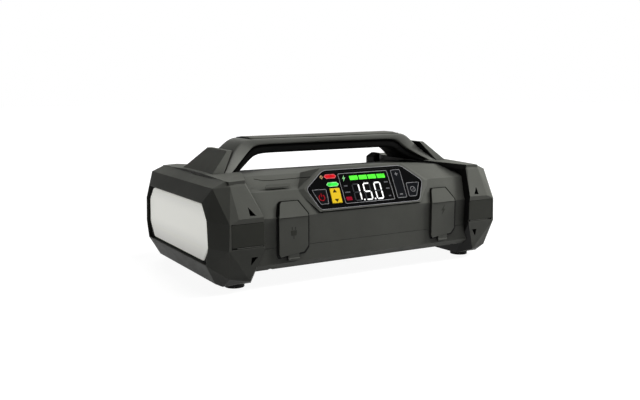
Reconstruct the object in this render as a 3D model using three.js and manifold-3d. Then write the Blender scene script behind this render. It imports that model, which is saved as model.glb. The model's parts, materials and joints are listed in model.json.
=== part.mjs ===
// Portable jump starter with a built-in tyre inflator, a work light in one end and a fixed carrying handle.
// Frame: millimetres, +X along the length (the work light looks along -X), the control panel and port covers
// face -Y, +Z up, origin under the middle of the pack on the surface that it stands on.
import * as THREE from "three";
import { ConvexGeometry } from "three/addons/geometries/ConvexGeometry.js";
import { mergeVertices } from "three/addons/utils/BufferGeometryUtils.js";
import Module from "manifold-3d";

const wasm = await Module();
wasm.setup();

// ---- Driving dimensions ----------------------------------------------------------------------------

const GAP = 0.3; // clearance between two pieces that rest on each other
const FIT = 0.4; // clearance of the body inside its end caps
const OVER = 1; // how far a cutting tool passes beyond what it cuts
const STEEP = Math.PI / 3; // slope of the body's shoulder and of the control panel

const LENGTH = 319; // over both end caps
const WIDTH = 198; // over the end caps' side pads
const TIP = LENGTH / 2;
const HALF_WIDTH = WIDTH / 2;
const CAP_NOSE = 17.5; // how far a cap reaches past the end of the body
const CAP_GRIP = 27; // how far it reaches back over the body
const PAD_PROUD = 7.5; // how far its side pads stand out from the body's side
const BODY_END = TIP - CAP_NOSE;
const INNER = BODY_END - CAP_GRIP; // where a cap begins
const HALF_BODY = HALF_WIDTH - PAD_PROUD;
const BODY_BOTTOM = 15.5;
const BODY_BEVEL = 5.5; // bevel along the body's lower edges
const PARTING = 35.8; // height of the joint between the two shells
const CREASE = 62; // height where the upright side turns into the shoulder
const SHOULDER_RUN = 12.5; // depth of the shoulder, front to back
const DECK = 94.5; // height of the deck under the handle
const DECK_FRONT = 50; // how far the flat deck reaches to the front
const REAR_SLOPE_DROP = 6.5;
const REAR_SHOULDER_DROP = 14;
const WALL = 2.6;

const CAP_TOP = 97;
const CAP_BOTTOM = 3.5;
const CAP_WALL = 3.2;
const COLLAR = 4; // length of the collar that grips the body
const LENS_RECESS = 5;
const LENS_THICK = 2.5;
const PAD_LOW = 39; // the upright side pad of a cap runs from here
const PAD_HIGH = 65.5; // to here

const HANDLE_TOP = 125.8;
const HANDLE_HALF = INNER - 27; // half the straight top of the handle
const HANDLE_DEPTH = 34; // front to back over the grip
const HANDLE_FOOT_DEPTH = 72; // front to back over the feet of the legs
const GRIP_PLATE_RISE = 1.2;
const GRIP_PLATE_HALF = HANDLE_HALF - 1.5;
const LINER_DEPTH = 31;

const PANEL_X = 2.6; // middle of the control panel
const COVER_SPACE = 50.1; // what the port cover at each end of it takes up
const PANEL_HALF = INNER - COVER_SPACE; // half the panel's length
const PANEL_RIM = 3; // width of the raised housing round the panel
const PANEL_PROUD = 1.4;
const OVERLAY_THICK = 1.6;
const KEY_TRAVEL = 0.8;
const KEY_PROUD = 0.5;
const KEY_LENGTH = 5;

const COVER_WIDTH = 29;
const COVER_BOTTOM = 27;
const COVER_REACH = 13.5; // how far a port cover climbs up the shoulder
const COVER_THICK = 2.2;
const COVER_BEVEL = 7;
const LEFT_COVER_X = 31.1 - INNER;
const RIGHT_COVER_X = INNER - 29.4;

const FOOT_RADIUS = 8.8;
const FOOT_X = TIP - 29.5;
const FOOT_Y = HALF_WIDTH - 31;
const FOOT_SEAT = 3; // depth of the foot's seat in the cap

const INFLATOR_LENGTH = 75; // from the motor's shaft to the end cap
const PINION_X = INNER - INFLATOR_LENGTH;
const FRAME_LEFT = PINION_X - 24; // where the inflator's frame begins
const CELL = { count: 4, deep: 120, high: 56, between: 1 };
const CELLS_X = 14 - INNER; // where the first cell starts
const CELLS_END = FRAME_LEFT - 21;
const TRAY_FLOOR = 2;
const TRAY_HIGH = 16;

const AXIS_Z = 50; // height of the inflator's shafts
const MODULE = 1;
const PINION_TEETH = 12;
const GEAR_TEETH = 48;
const GEAR_X = PINION_X + (MODULE * (PINION_TEETH + GEAR_TEETH)) / 2;
const FRAME_Y = 6; // back of the inflator's frame plate
const FRAME_THICK = 3;
const GEAR_Y = 12;
const GEAR_WIDTH = 8;
const CRANK_RADIUS = 7;
const CRANK_PIN = 2;
const ROD_Y = 26.4;
const ROD_THICK = 4.6;
const ROD_LENGTH = 33;
const BORE = 10.5;
const PISTON_LENGTH = 12;
const CYLINDER_WALL = 3;
const MOTOR_RADIUS = 18;
const MOTOR_LENGTH = 56;
const MOTOR_SHAFT = 1.6;
const AXLE = 3;

const SCREW_RADIUS = 1.5;
const SCREW_HEAD = 3;
const CASE_SCREW = { x: INNER - 11, y: HALF_BODY - 8, boss: 6.6 };
const CAP_SCREW = { x: INNER + 13, y: 36 };

// ---- Solids ----------------------------------------------------------------------------------------

// A closed geometry as a solid that can be joined and cut.
function solid(geometry) {
  const bare = geometry.clone();
  bare.deleteAttribute("normal");
  bare.deleteAttribute("uv");
  const merged = mergeVertices(bare, 1e-4);
  return new wasm.Manifold(
    new wasm.Mesh({
      numProp: 3,
      vertProperties: new Float32Array(merged.attributes.position.array),
      triVerts: new Uint32Array(merged.index.array),
    }),
  );
}

function geometryOf(made) {
  const mesh = made.getMesh();
  const geometry = new THREE.BufferGeometry();
  geometry.setAttribute("position", new THREE.BufferAttribute(mesh.vertProperties, 3));
  geometry.setIndex(new THREE.BufferAttribute(mesh.triVerts, 1));
  return geometry;
}

// The same solid on the other side of the plane X = 0.
function mirrored(made) {
  const mesh = made.getMesh();
  const places = mesh.vertProperties.slice();
  for (let i = 0; i < places.length; i += 3) places[i] = -places[i];
  const faces = mesh.triVerts.slice();
  for (let i = 0; i < faces.length; i += 3) {
    [faces[i + 1], faces[i + 2]] = [faces[i + 2], faces[i + 1]];
  }
  return new wasm.Manifold(new wasm.Mesh({ numProp: 3, vertProperties: places, triVerts: faces }));
}

const joined = (pieces) => pieces.reduce((whole, piece) => whole.add(piece));
const hull = (points) => solid(new ConvexGeometry(points.map((p) => new THREE.Vector3(...p))));

// Points on both sides of the plane Y = 0.
const bothSides = (points) => points.flatMap(([x, y, z]) => [[x, -y, z], [x, y, z]]);

function block(from, to) {
  const geometry = new THREE.BoxGeometry(to[0] - from[0], to[1] - from[1], to[2] - from[2]);
  geometry.translate((from[0] + to[0]) / 2, (from[1] + to[1]) / 2, (from[2] + to[2]) / 2);
  return solid(geometry);
}

// Frames that place an outline: along X it is drawn as (y, z), along Y as (x, z), up Z as (x, y).
const ALONG_X = new THREE.Matrix4().set(0, 0, 1, 0, 1, 0, 0, 0, 0, 1, 0, 0, 0, 0, 0, 1);
const ALONG_Y = new THREE.Matrix4().set(1, 0, 0, 0, 0, 0, -1, 0, 0, 1, 0, 0, 0, 0, 0, 1);
const UP_Z = new THREE.Matrix4();
// The control panel's frame: x along the panel, y up its slope from the crease, z out of its face.
const PANEL = new THREE.Matrix4().makeBasis(
  new THREE.Vector3(1, 0, 0),
  new THREE.Vector3(0, Math.cos(STEEP), Math.sin(STEEP)),
  new THREE.Vector3(0, -Math.sin(STEEP), Math.cos(STEEP)),
);
PANEL.setPosition(PANEL_X, -HALF_BODY, CREASE);

// An outline pushed from one level to the next along its frame's third axis.
function prism(outline, from, to, frame = UP_Z, holes = []) {
  const shape = new THREE.Shape(outline.map(([a, b]) => new THREE.Vector2(a, b)));
  for (const hole of holes) {
    shape.holes.push(new THREE.Path(hole.map(([a, b]) => new THREE.Vector2(a, b))));
  }
  const geometry = new THREE.ExtrudeGeometry(shape, { depth: to - from, bevelEnabled: false });
  geometry.translate(0, 0, from);
  geometry.applyMatrix4(frame);
  return solid(geometry);
}

// Levels along Y run towards -Y in the extruding frame, so this takes them as plain Y values.
const prismY = (outline, yLow, yHigh, holes = []) => prism(outline, -yHigh, -yLow, ALONG_Y, holes);
const prismX = (outline, xLow, xHigh, holes = []) => prism(outline, xLow, xHigh, ALONG_X, holes);

function circle(radius, sides = 24, cx = 0, cy = 0) {
  return Array.from({ length: sides }, (_, i) => {
    const turn = (2 * Math.PI * i) / sides;
    return [cx + radius * Math.cos(turn), cy + radius * Math.sin(turn)];
  });
}

// A convex outline, counter-clockwise, moved outwards by a distance (inwards when negative).
function grown(outline, distance) {
  const edges = outline.map(([x, y], i) => {
    const [nx, ny] = outline[(i + 1) % outline.length];
    const length = Math.hypot(nx - x, ny - y);
    const out = [(ny - y) / length, -(nx - x) / length];
    return { out, offset: out[0] * x + out[1] * y + distance };
  });
  return edges.map((edge, i) => {
    const last = edges.at(i - 1);
    const cross = last.out[0] * edge.out[1] - last.out[1] * edge.out[0];
    return [
      (last.offset * edge.out[1] - edge.offset * last.out[1]) / cross,
      (edge.offset * last.out[0] - last.offset * edge.out[0]) / cross,
    ];
  });
}

function disc(radius, from, to, frame, sides = 24, cx = 0, cy = 0) {
  return prism(circle(radius, sides, cx, cy), from, to, frame);
}

const discY = (radius, yLow, yHigh, x, z, sides = 24) =>
  prismY(circle(radius, sides, x, z), yLow, yHigh);
const discX = (radius, xLow, xHigh, y, z, sides = 24) =>
  prismX(circle(radius, sides, y, z), xLow, xHigh);

// ---- Finishes --------------------------------------------------------------------------------------

const finish = (color, roughness, metalness = 0) =>
  new THREE.MeshStandardMaterial({ color, roughness, metalness });
const SHELL = () => finish(0x4a4b46, 0.6);
const CAP = () => finish(0x3f403b, 0.65);
const SOFT_BLACK = () => finish(0x131312, 0.75);
const PORT_RUBBER = () => finish(0x4c4d48, 0.7);
const GLOSS_BLACK = () => finish(0x0a0a0b, 0.15);
const DARK_KEY = () => finish(0x16161a, 0.35);
const YELLOW_KEY = () => finish(0xf2cb2e, 0.4);
const LENS = () => finish(0xd8d8d0, 0.5);
const WHITE_PLASTIC = () => finish(0xf0f0ea, 0.5);
const BOARD = () => finish(0x1d4d33, 0.5);
const STEEL = () => finish(0xb4b6b8, 0.35, 1);
const ALUMINIUM = () => finish(0xa6a8aa, 0.45, 1);
const CELL_WRAP = () => finish(0x2b5f9c, 0.45);
const NYLON = () => finish(0xe4e0d2, 0.5);
const SOCKET_BLUE = () => finish(0x2458a8, 0.4);

const jumpStarter = new THREE.Group();

function place(name, made, material) {
  const mesh = new THREE.Mesh(geometryOf(made), material);
  mesh.name = name;
  jumpStarter.add(mesh);
  return made;
}

// ---- Body shells -----------------------------------------------------------------------------------

const SHOULDER_TOP = CREASE + SHOULDER_RUN * Math.tan(STEEP);

const upperOutline = [
  [-HALF_BODY, PARTING],
  [HALF_BODY, PARTING],
  [HALF_BODY, CREASE],
  [HALF_BODY - SHOULDER_RUN, DECK - REAR_SHOULDER_DROP],
  [DECK_FRONT, DECK - REAR_SLOPE_DROP],
  [0, DECK],
  [-DECK_FRONT, DECK],
  [-(HALF_BODY - SHOULDER_RUN), SHOULDER_TOP],
  [-HALF_BODY, CREASE],
];
const lowerOutline = [
  [-(HALF_BODY - BODY_BEVEL), BODY_BOTTOM],
  [HALF_BODY - BODY_BEVEL, BODY_BOTTOM],
  [HALF_BODY, BODY_BOTTOM + BODY_BEVEL],
  [HALF_BODY, PARTING - GAP],
  [-HALF_BODY, PARTING - GAP],
  [-HALF_BODY, BODY_BOTTOM + BODY_BEVEL],
];
const bodyOutline = [...lowerOutline.slice(0, 3), ...upperOutline.slice(2), lowerOutline[5]];

// The elongated hexagon of the control panel, in the panel's own frame.
const panelOutline = [
  [8.5 - PANEL_HALF, 4.5],
  [PANEL_HALF - 10.5, 4.5],
  [PANEL_HALF, 23.5],
  [PANEL_HALF - 20, 41],
  [20.6 - PANEL_HALF, 41],
  [-PANEL_HALF, 24],
];
const corners = [-1, 1].flatMap((sx) => [-1, 1].map((sy) => [sx, sy]));
const cornerName = (sx, sy) => (sx < 0 ? "left" : "right") + (sy < 0 ? "_front" : "_rear");

// The raised housing behind the control panel, from the body's own shoulder and deck up to its rim.
function panelHousing() {
  const rim = grown(panelOutline, PANEL_RIM).map(([x, y]) =>
    new THREE.Vector3(x, y, PANEL_PROUD).applyMatrix4(PANEL).toArray(),
  );
  const skirt = PANEL_RIM + 8;
  const left = PANEL_X + panelOutline[5][0] - skirt;
  const right = PANEL_X + panelOutline[2][0] + skirt;
  const back = -DECK_FRONT + 4;
  const root = [
    [left, -(HALF_BODY - SHOULDER_RUN), SHOULDER_TOP - OVER],
    [right, -(HALF_BODY - SHOULDER_RUN), SHOULDER_TOP - OVER],
    [PANEL_X + panelOutline[4][0] - skirt, back, DECK - OVER / 4],
    [PANEL_X + panelOutline[3][0] + skirt, back, DECK - OVER / 4],
    [PANEL_X + panelOutline[0][0] - PANEL_RIM, -HALF_BODY + WALL, CREASE + OVER],
    [PANEL_X + panelOutline[1][0] + PANEL_RIM, -HALF_BODY + WALL, CREASE + OVER],
  ];
  return hull([...rim, ...root]);
}

// What a port cover hides: the pocket in the shells that shows the sockets.
const POCKET = { half: 10, low: COVER_BOTTOM + 5, high: CREASE - 4 };
const portPocket = (x, yLow, yHigh) =>
  block([x - POCKET.half, yLow, POCKET.low], [x + POCKET.half, yHigh, POCKET.high]);
const portX = [LEFT_COVER_X, RIGHT_COVER_X];

function caseScrewTools(height) {
  return corners.map(([sx, sy]) =>
    disc(SCREW_RADIUS + GAP, 0, height, UP_Z, 12, sx * CASE_SCREW.x, sy * CASE_SCREW.y),
  );
}

function bosses(zLow, zHigh, outline) {
  const inside = prismX(grown(outline, -WALL / 2), -BODY_END, BODY_END);
  return corners.map(([sx, sy]) =>
    disc(CASE_SCREW.boss, zLow, zHigh, UP_Z, 16, sx * CASE_SCREW.x, sy * CASE_SCREW.y).intersect(inside),
  );
}

const KEYWAY = 0.3; // clearance round each key

// Keys of the control panel, each an outline in the panel's frame.
const rectangle = (x0, x1, y0, y1) => [[x0, y0], [x1, y0], [x1, y1], [x0, y1]];
const fromLeft = (outline) => outline.map(([x, y]) => [x - PANEL_HALF, y]);
const fromRight = (outline) => outline.map(([x, y]) => [PANEL_HALF - x, y]);
const keys = {
  power_key: fromLeft([[9.3, 8], [18.1, 8], [19.1, 22.7], [3.7, 22.7]]),
  unit_key: fromLeft([[21.7, 8], [32.7, 8], [33.7, 23], [22.7, 23]]),
  level_rocker: fromRight([[34.5, 7.5], [23.3, 7.5], [22.1, 37], [33.5, 37]]),
  pump_key: fromRight([[20.5, 8], [11.5, 8], [3.5, 22.4], [19.5, 22.4]]),
};
const displayOutline = rectangle(keys.unit_key[2][0] + 3.2, keys.level_rocker[0][0] - 2.9, 7.5, 37.3);
const OVERLAY_TOP = PANEL_PROUD - 0.5;
const OVERLAY_BOTTOM = OVERLAY_TOP - OVERLAY_THICK;
const KEY_BOTTOM = OVERLAY_TOP + KEY_PROUD - KEY_LENGTH;
const BOARD_TOP = KEY_BOTTOM - KEY_TRAVEL - GAP;
const BOARD_THICK = 1.6;
const DISPLAY_BACK = BOARD_TOP + GAP;

function upperShell() {
  const outer = prismX(upperOutline, -BODY_END, BODY_END).add(panelHousing());
  const innerOutline = grown(upperOutline, -WALL).map(([y, z], i) => [y, i < 2 ? PARTING - OVER : z]);
  const inner = prismX(innerOutline, -BODY_END - OVER, BODY_END + OVER);
  const ledge = grown(panelOutline, -4);
  const panelPocket = prism(grown(panelOutline, GAP), OVERLAY_BOTTOM - GAP, PANEL_PROUD + OVER, PANEL);
  const panelWell = prism(ledge, BOARD_TOP - BOARD_THICK - 6, PANEL_PROUD + OVER, PANEL);
  const keyWells = [...Object.values(keys), displayOutline].map((outline) =>
    prism(grown(outline, 1), BOARD_TOP - BOARD_THICK - OVER, PANEL_PROUD, PANEL),
  );
  return outer
    .subtract(inner)
    .add(joined(bosses(PARTING, PARTING + 20, upperOutline)))
    .subtract(panelPocket)
    .subtract(panelWell)
    .subtract(joined(keyWells))
    .subtract(joined(portX.map((x) => portPocket(x, -HALF_BODY - OVER, -HALF_BODY + WALL + OVER))))
    .subtract(joined(caseScrewTools(PARTING + 16)));
}

function lowerShell() {
  const outer = prismX(lowerOutline, -BODY_END, BODY_END);
  const innerOutline = grown(lowerOutline, -WALL).map(([y, z], i) => [
    y,
    i === 3 || i === 4 ? PARTING + OVER : z,
  ]);
  const heads = corners.map(([sx, sy]) =>
    disc(SCREW_HEAD + GAP, 0, BODY_BOTTOM + 3, UP_Z, 16, sx * CASE_SCREW.x, sy * CASE_SCREW.y),
  );
  const capScrews = corners.map(([sx, sy]) =>
    disc(SCREW_RADIUS + GAP, 0, BODY_BOTTOM + WALL + OVER, UP_Z, 12, sx * CAP_SCREW.x, sy * CAP_SCREW.y),
  );
  return outer
    .subtract(prismX(innerOutline, -BODY_END - OVER, BODY_END + OVER))
    .add(joined(bosses(BODY_BOTTOM, PARTING - GAP, lowerOutline)))
    .subtract(joined(caseScrewTools(PARTING + OVER)))
    .subtract(joined(heads))
    .subtract(joined(capScrews))
    .subtract(joined(portX.map((x) => portPocket(x, -HALF_BODY - OVER, -HALF_BODY + WALL + OVER))));
}

place("upper_shell", upperShell(), SHELL());
place("lower_shell", lowerShell(), SHELL());

// ---- Handle ----------------------------------------------------------------------------------------

// Stations of one leg from the top to the foot: outer and inner edge as [x, z], and half the depth.
const HALF_GRIP = HANDLE_DEPTH / 2;
const HALF_FOOT = HANDLE_FOOT_DEPTH / 2;
const HANDLE_FOOT = CAP_TOP - 1; // the feet of the legs sink into seats in the caps
const LIGHT_BAND = 5.2; // thickness of the grip's upper part
const LINER_THICK = 9.2; // and of the liner under it

// A height between the cap's top and a level of the grip, as a share of the way up.
const outerZ = (share) => CAP_TOP + share * (HANDLE_TOP - CAP_TOP);
const innerZ = (share) => CAP_TOP + share * (HANDLE_TOP - LIGHT_BAND - CAP_TOP);
const linerZ = (share) => CAP_TOP + share * (HANDLE_TOP - LIGHT_BAND - LINER_THICK - CAP_TOP);
const stations = [
  { outer: [HANDLE_HALF, outerZ(1)], inner: [HANDLE_HALF - 12, innerZ(1)], half: HALF_GRIP },
  { outer: [HANDLE_HALF + 7, outerZ(0.945)], inner: [HANDLE_HALF - 3.5, innerZ(0.924)], half: HALF_GRIP },
  { outer: [HANDLE_HALF + 12.5, outerZ(0.826)], inner: [HANDLE_HALF + 1, innerZ(0.78)], half: HALF_GRIP + 0.5 },
  { outer: [HANDLE_HALF + 22.5, outerZ(0.469)], inner: [HANDLE_HALF + 9, innerZ(0.466)], half: HALF_GRIP + 4 },
  { outer: [INNER + 10, HANDLE_FOOT], inner: [INNER + 1, HANDLE_FOOT], half: HALF_FOOT, foot: true },
];

// The solid between two stations, both edges moved out from the band's middle by a distance.
function span(a, b, side, spread = 0) {
  const corner = (station, edge, shift) => {
    const x = side * (station[edge][0] + shift);
    const z = station[edge][1] + (station.foot ? -spread : shift);
    return [[x, -station.half - spread, z], [x, station.half + spread, z]];
  };
  return hull([
    ...corner(a, "outer", spread),
    ...corner(a, "inner", -spread),
    ...corner(b, "outer", spread),
    ...corner(b, "inner", -spread),
  ]);
}

function handleBar(spread) {
  const top = HANDLE_TOP + spread;
  const half = HALF_GRIP + spread;
  const low = HANDLE_TOP - LIGHT_BAND - spread;
  return hull(
    [-1, 1].flatMap((side) => [
      ...bothSides([[side * HANDLE_HALF, half, top]]),
      ...bothSides([[side * (HANDLE_HALF - 12), half, low]]),
    ]),
  );
}

function handle(spread = 0) {
  const legs = [-1, 1].flatMap((side) =>
    stations.slice(1).map((station, i) => span(stations[i], station, side, spread)),
  );
  return joined([handleBar(spread), ...legs]);
}

// The soft liner under the grip and inside the legs, which follows the handle's inner edge.
const HALF_LINER = LINER_DEPTH / 2;
const LINER_SEAT = GAP * 1.5; // measured square to the sloping edge this leaves the usual gap
const linerStations = [
  { upper: stations[0].inner, lower: [HANDLE_HALF - 11, linerZ(1)], half: HALF_LINER },
  { upper: stations[1].inner, lower: [HANDLE_HALF - 4, linerZ(0.82)], half: HALF_LINER },
  { upper: stations[2].inner, lower: [HANDLE_HALF + 1.5, linerZ(0.486)], half: HALF_LINER + 0.5 },
  { upper: stations[3].inner, lower: [HANDLE_HALF + 6, linerZ(0.292)], half: HALF_LINER + 3.5 },
  { upper: [INNER + 0.6, CAP_TOP + LINER_SEAT], lower: [INNER - 6.2, CAP_TOP], half: HALF_FOOT - 2.5 },
];

function linerSpan(a, b, side) {
  const points = [a, b].flatMap(({ upper: [x, z], lower, half }) => [
    [side * (x - LINER_SEAT), half, z - LINER_SEAT],
    [side * lower[0], half, lower[1]],
  ]);
  return hull(bothSides(points));
}

function liner() {
  const legs = [-1, 1].flatMap((side) =>
    linerStations.slice(1).map((station, i) => linerSpan(linerStations[i], station, side)),
  );
  const [x0, z0] = linerStations[0].upper.map((v) => v - LINER_SEAT);
  const [x1, z1] = linerStations[0].lower;
  const bar = hull(
    [-1, 1].flatMap((side) => bothSides([[side * x0, HALF_LINER, z0], [side * x1, HALF_LINER, z1]])),
  );
  const bed = block([-LENGTH, -WIDTH, 0], [LENGTH, WIDTH, CAP_TOP + GAP]);
  return joined([bar, ...legs]).subtract(handle(GAP / 2)).subtract(bed);
}

// The crowned plate let into the top of the grip.
function gripPlate(spread = 0) {
  const half = HALF_GRIP - 3;
  const outline = grown(
    [
      [-half, HANDLE_TOP - 1],
      [half, HANDLE_TOP - 1],
      [half, HANDLE_TOP + 0.2],
      [half - 6, HANDLE_TOP + GRIP_PLATE_RISE],
      [6 - half, HANDLE_TOP + GRIP_PLATE_RISE],
      [-half, HANDLE_TOP + 0.2],
    ],
    spread,
  );
  return prismX(outline, -GRIP_PLATE_HALF - spread, GRIP_PLATE_HALF + spread);
}

place("handle_frame", handle().subtract(gripPlate(GAP)), SHELL());
place("handle_liner", liner(), SOFT_BLACK());
place("handle_grip_plate", gripPlate(), SHELL());

// ---- End caps --------------------------------------------------------------------------------------

const TOP_SIDE = HALF_WIDTH - 17; // where the plateau's front edge stands

// The octagon that frames the light, as [y, z] on the positive side from the top.
const lensHalf = [
  [HALF_WIDTH - 30.7, 76.6],
  [HALF_WIDTH - 20.8, 62.8],
  [HALF_WIDTH - 18.9, 40.1],
  [HALF_WIDTH - 24.6, 23.7],
];
const lensOutline = [
  ...lensHalf.slice().reverse(),
  ...lensHalf.map(([y, z]) => [-y, z]),
];

const capSkin = [
  ...lensHalf.map(([y, z]) => [TIP, y + 0.6, z > CREASE - 10 ? z + 0.5 : z - 0.5]),
  [TIP - 6.3, HALF_WIDTH - 21.5, 89.8], // corner of the roof facet
  [TIP - 18.6, HALF_WIDTH - 22, CAP_TOP - 1.8],
  [INNER + 10, TOP_SIDE - 2, CAP_TOP - 1.6],
  [TIP - 20, TOP_SIDE + 1.5, CAP_TOP - 6],
  [INNER + 10, TOP_SIDE + 1.5, CAP_TOP - 6],
  [TIP - 20.5, HALF_WIDTH, PAD_HIGH - 0.3],
  [INNER + 0.8, HALF_WIDTH, PAD_HIGH],
  [TIP - 12, HALF_WIDTH, PAD_HIGH - 4],
  [TIP - 11.2, HALF_WIDTH, PAD_LOW],
  [INNER - 0.2, HALF_WIDTH, PAD_LOW],
  [TIP - 15, HALF_WIDTH - 9, CAP_BOTTOM + 9], // low corners, under the side pad
  [INNER + 8, HALF_WIDTH - 6, CAP_BOTTOM + 15.5],
  [INNER + 11.5, HALF_WIDTH - 6, CAP_BOTTOM + 6],
  [TIP - 14, HALF_WIDTH - 22, CAP_BOTTOM],
  [INNER + 3.5, HALF_WIDTH - 22, CAP_BOTTOM],
  [TIP - 10, HALF_WIDTH - 28, CAP_BOTTOM + 1.6],
];
const CAP_MIDDLE = [INNER + 1, 0, 50];

function shrunk(points, wall) {
  const reach = [TIP - CAP_MIDDLE[0], HALF_WIDTH, CAP_TOP - CAP_MIDDLE[2]];
  return points.map((p) => p.map((v, i) => CAP_MIDDLE[i] + (v - CAP_MIDDLE[i]) * (1 - wall / reach[i])));
}

// The wing that climbs the outside of a handle leg from the cap's top.
const GUSSET = { front: TIP - 24.5, back: INNER + 9, reach: 0.5, top: outerZ(0.67), halfTop: 23.6, halfFoot: 35.7 };
const gusset = bothSides([
  [stations[3].outer[0] - GUSSET.reach, GUSSET.halfTop, GUSSET.top],
  [stations[3].outer[0] + 4.3, GUSSET.halfTop, GUSSET.top],
  ...[CAP_TOP, CAP_TOP - 4].flatMap((z) => [
    [GUSSET.front, GUSSET.halfFoot, z],
    [GUSSET.back, GUSSET.halfFoot, z],
  ]),
]);
const plateau = bothSides([
  [TIP - 18.6, HALF_WIDTH - 22, CAP_TOP - 1.8],
  [TIP - 19.5, TOP_SIDE, CAP_TOP - 2],
  [INNER + 10, TOP_SIDE, CAP_TOP - 1.4],
  [INNER - 6, HALF_FOOT + 6, CAP_TOP],
  [TIP - 19, 20, CAP_TOP],
  [TIP - 18.6, HALF_WIDTH - 22, CAP_TOP - 6.5],
  [TIP - 19.5, TOP_SIDE, CAP_TOP - 6.5],
  [INNER + 10, TOP_SIDE, CAP_TOP - 6.5],
  [INNER - 6, HALF_FOOT + 6, CAP_TOP - 5.2],
  [TIP - 19, 20, CAP_TOP - 5.2],
]);
// The small triangular cut-outs above and below the side pad: an upright leg and a level one.
const CUTS = [
  { x: TIP - 31.3, wide: 5.8, z: PAD_HIGH + 1.5, tall: 7.2 },
  { x: TIP - 32.5, wide: 6, z: PAD_LOW - 7.7, tall: -7.4 },
];
function cutOut({ x, wide, z, tall }) {
  const outline = [[x - wide, z], [x, z], [x, z + tall]];
  return tall > 0 ? outline : outline.reverse();
}
const PAD_RECESS = { deep: 1.2, low: PAD_LOW + 0.8, high: PAD_HIGH - 4.2, end: TIP - 13.5 };

function endCap() {
  const outer = joined([hull(bothSides(capSkin)), hull(plateau), hull(gusset)]);
  const cavity = hull(bothSides(shrunk(capSkin, CAP_WALL))).intersect(
    block([INNER + COLLAR, -HALF_WIDTH, 0], [TIP - LENS_RECESS - LENS_THICK - 3, HALF_WIDTH, CAP_TOP + 20]),
  );
  const throat = prismX(grown(bodyOutline, FIT), 0, BODY_END + FIT);
  const opening = prismX(lensOutline, BODY_END - OVER, TIP + OVER);
  const cutOuts = CUTS.map(cutOut).flatMap((outline) => [
    prismY(outline, -HALF_WIDTH - OVER, -HALF_BODY),
    prismY(outline, HALF_BODY, HALF_WIDTH + OVER),
  ]);
  const recess = rectangle(INNER - 5, PAD_RECESS.end, PAD_RECESS.low, PAD_RECESS.high);
  const recesses = [
    prismY(recess, -HALF_WIDTH - OVER, PAD_RECESS.deep - HALF_WIDTH),
    prismY(recess, HALF_WIDTH - PAD_RECESS.deep, HALF_WIDTH + OVER),
  ];
  const feet = [-1, 1].map((sy) =>
    disc(FOOT_RADIUS - 1 + GAP, 0, CAP_BOTTOM + FOOT_SEAT, UP_Z, 24, FOOT_X, sy * FOOT_Y),
  );
  const screws = [-1, 1].flatMap((sy) => [
    disc(SCREW_RADIUS + GAP, 0, BODY_BOTTOM, UP_Z, 12, CAP_SCREW.x, sy * CAP_SCREW.y),
    disc(SCREW_HEAD + GAP, 0, CAP_BOTTOM + 4, UP_Z, 16, CAP_SCREW.x, sy * CAP_SCREW.y),
  ]);
  // A post under each screw carries its head up to the body's floor.
  const posts = [-1, 1].map((sy) =>
    disc(SCREW_HEAD + 2.5, CAP_BOTTOM + OVER, BODY_BOTTOM - FIT, UP_Z, 16, CAP_SCREW.x, sy * CAP_SCREW.y),
  );
  return outer
    .subtract(cavity)
    .add(joined(posts))
    .subtract(throat)
    .subtract(opening)
    .subtract(joined([...cutOuts, ...recesses]))
    .subtract(joined(feet))
    .subtract(joined(screws))
    .subtract(handle(GAP));
}

const cap = endCap();
place("right_end_cap", cap, CAP());
place("left_end_cap", mirrored(cap), CAP());

// ---- Work light in the left end, and the output panel in the right end -------------------------------

const lensFront = TIP - LENS_RECESS;
const lensBack = lensFront - LENS_THICK;
const trayOutline = grown(lensOutline, -GAP);
const lightTray = prismX(trayOutline, BODY_END + GAP, lensBack - GAP).subtract(
  prismX(grown(trayOutline, -2.5), BODY_END + GAP + 2, TIP),
);
place("light_lens", mirrored(prismX(grown(lensOutline, -GAP), lensBack, lensFront)), LENS());
place("light_tray", mirrored(lightTray), WHITE_PLASTIC());

const LED = { columns: 6, rows: 3, size: 5, pitchY: 22, pitchZ: 14 };
function ledBoard() {
  const base = BODY_END + GAP + 2 + GAP;
  const strip = prismX(grown(trayOutline, -3.5), base, base + 1.6);
  const chips = [];
  for (let column = 0; column < LED.columns; column += 1) {
    for (let row = 0; row < LED.rows; row += 1) {
      const y = (column - (LED.columns - 1) / 2) * LED.pitchY;
      const z = 50 + (row - (LED.rows - 1) / 2) * LED.pitchZ;
      const half = LED.size / 2;
      chips.push(block([base + 1, y - half, z - half], [base + 2.6, y + half, z + half]));
    }
  }
  return mirrored(joined([strip, ...chips]));
}
place("led_board", ledBoard(), WHITE_PLASTIC());

const JUMPER = { y: -34, z: 50, halfY: 17, halfZ: 9, pin: 4.2, pinPitch: 15 };
const OUTLET = { y: ROD_Y + ROD_THICK / 2, z: AXIS_Z, radius: 5 };
function outputPanel() {
  const plate = prismX(grown(lensOutline, -GAP), lensBack, lensFront);
  const socketHole = block(
    [lensBack - OVER, JUMPER.y - JUMPER.halfY - GAP, JUMPER.z - JUMPER.halfZ - GAP],
    [TIP, JUMPER.y + JUMPER.halfY + GAP, JUMPER.z + JUMPER.halfZ + GAP],
  );
  return plate
    .subtract(socketHole)
    .subtract(discX(OUTLET.radius + GAP, lensBack - OVER, TIP, OUTLET.y, OUTLET.z));
}
place("output_panel", outputPanel(), SHELL());

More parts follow.
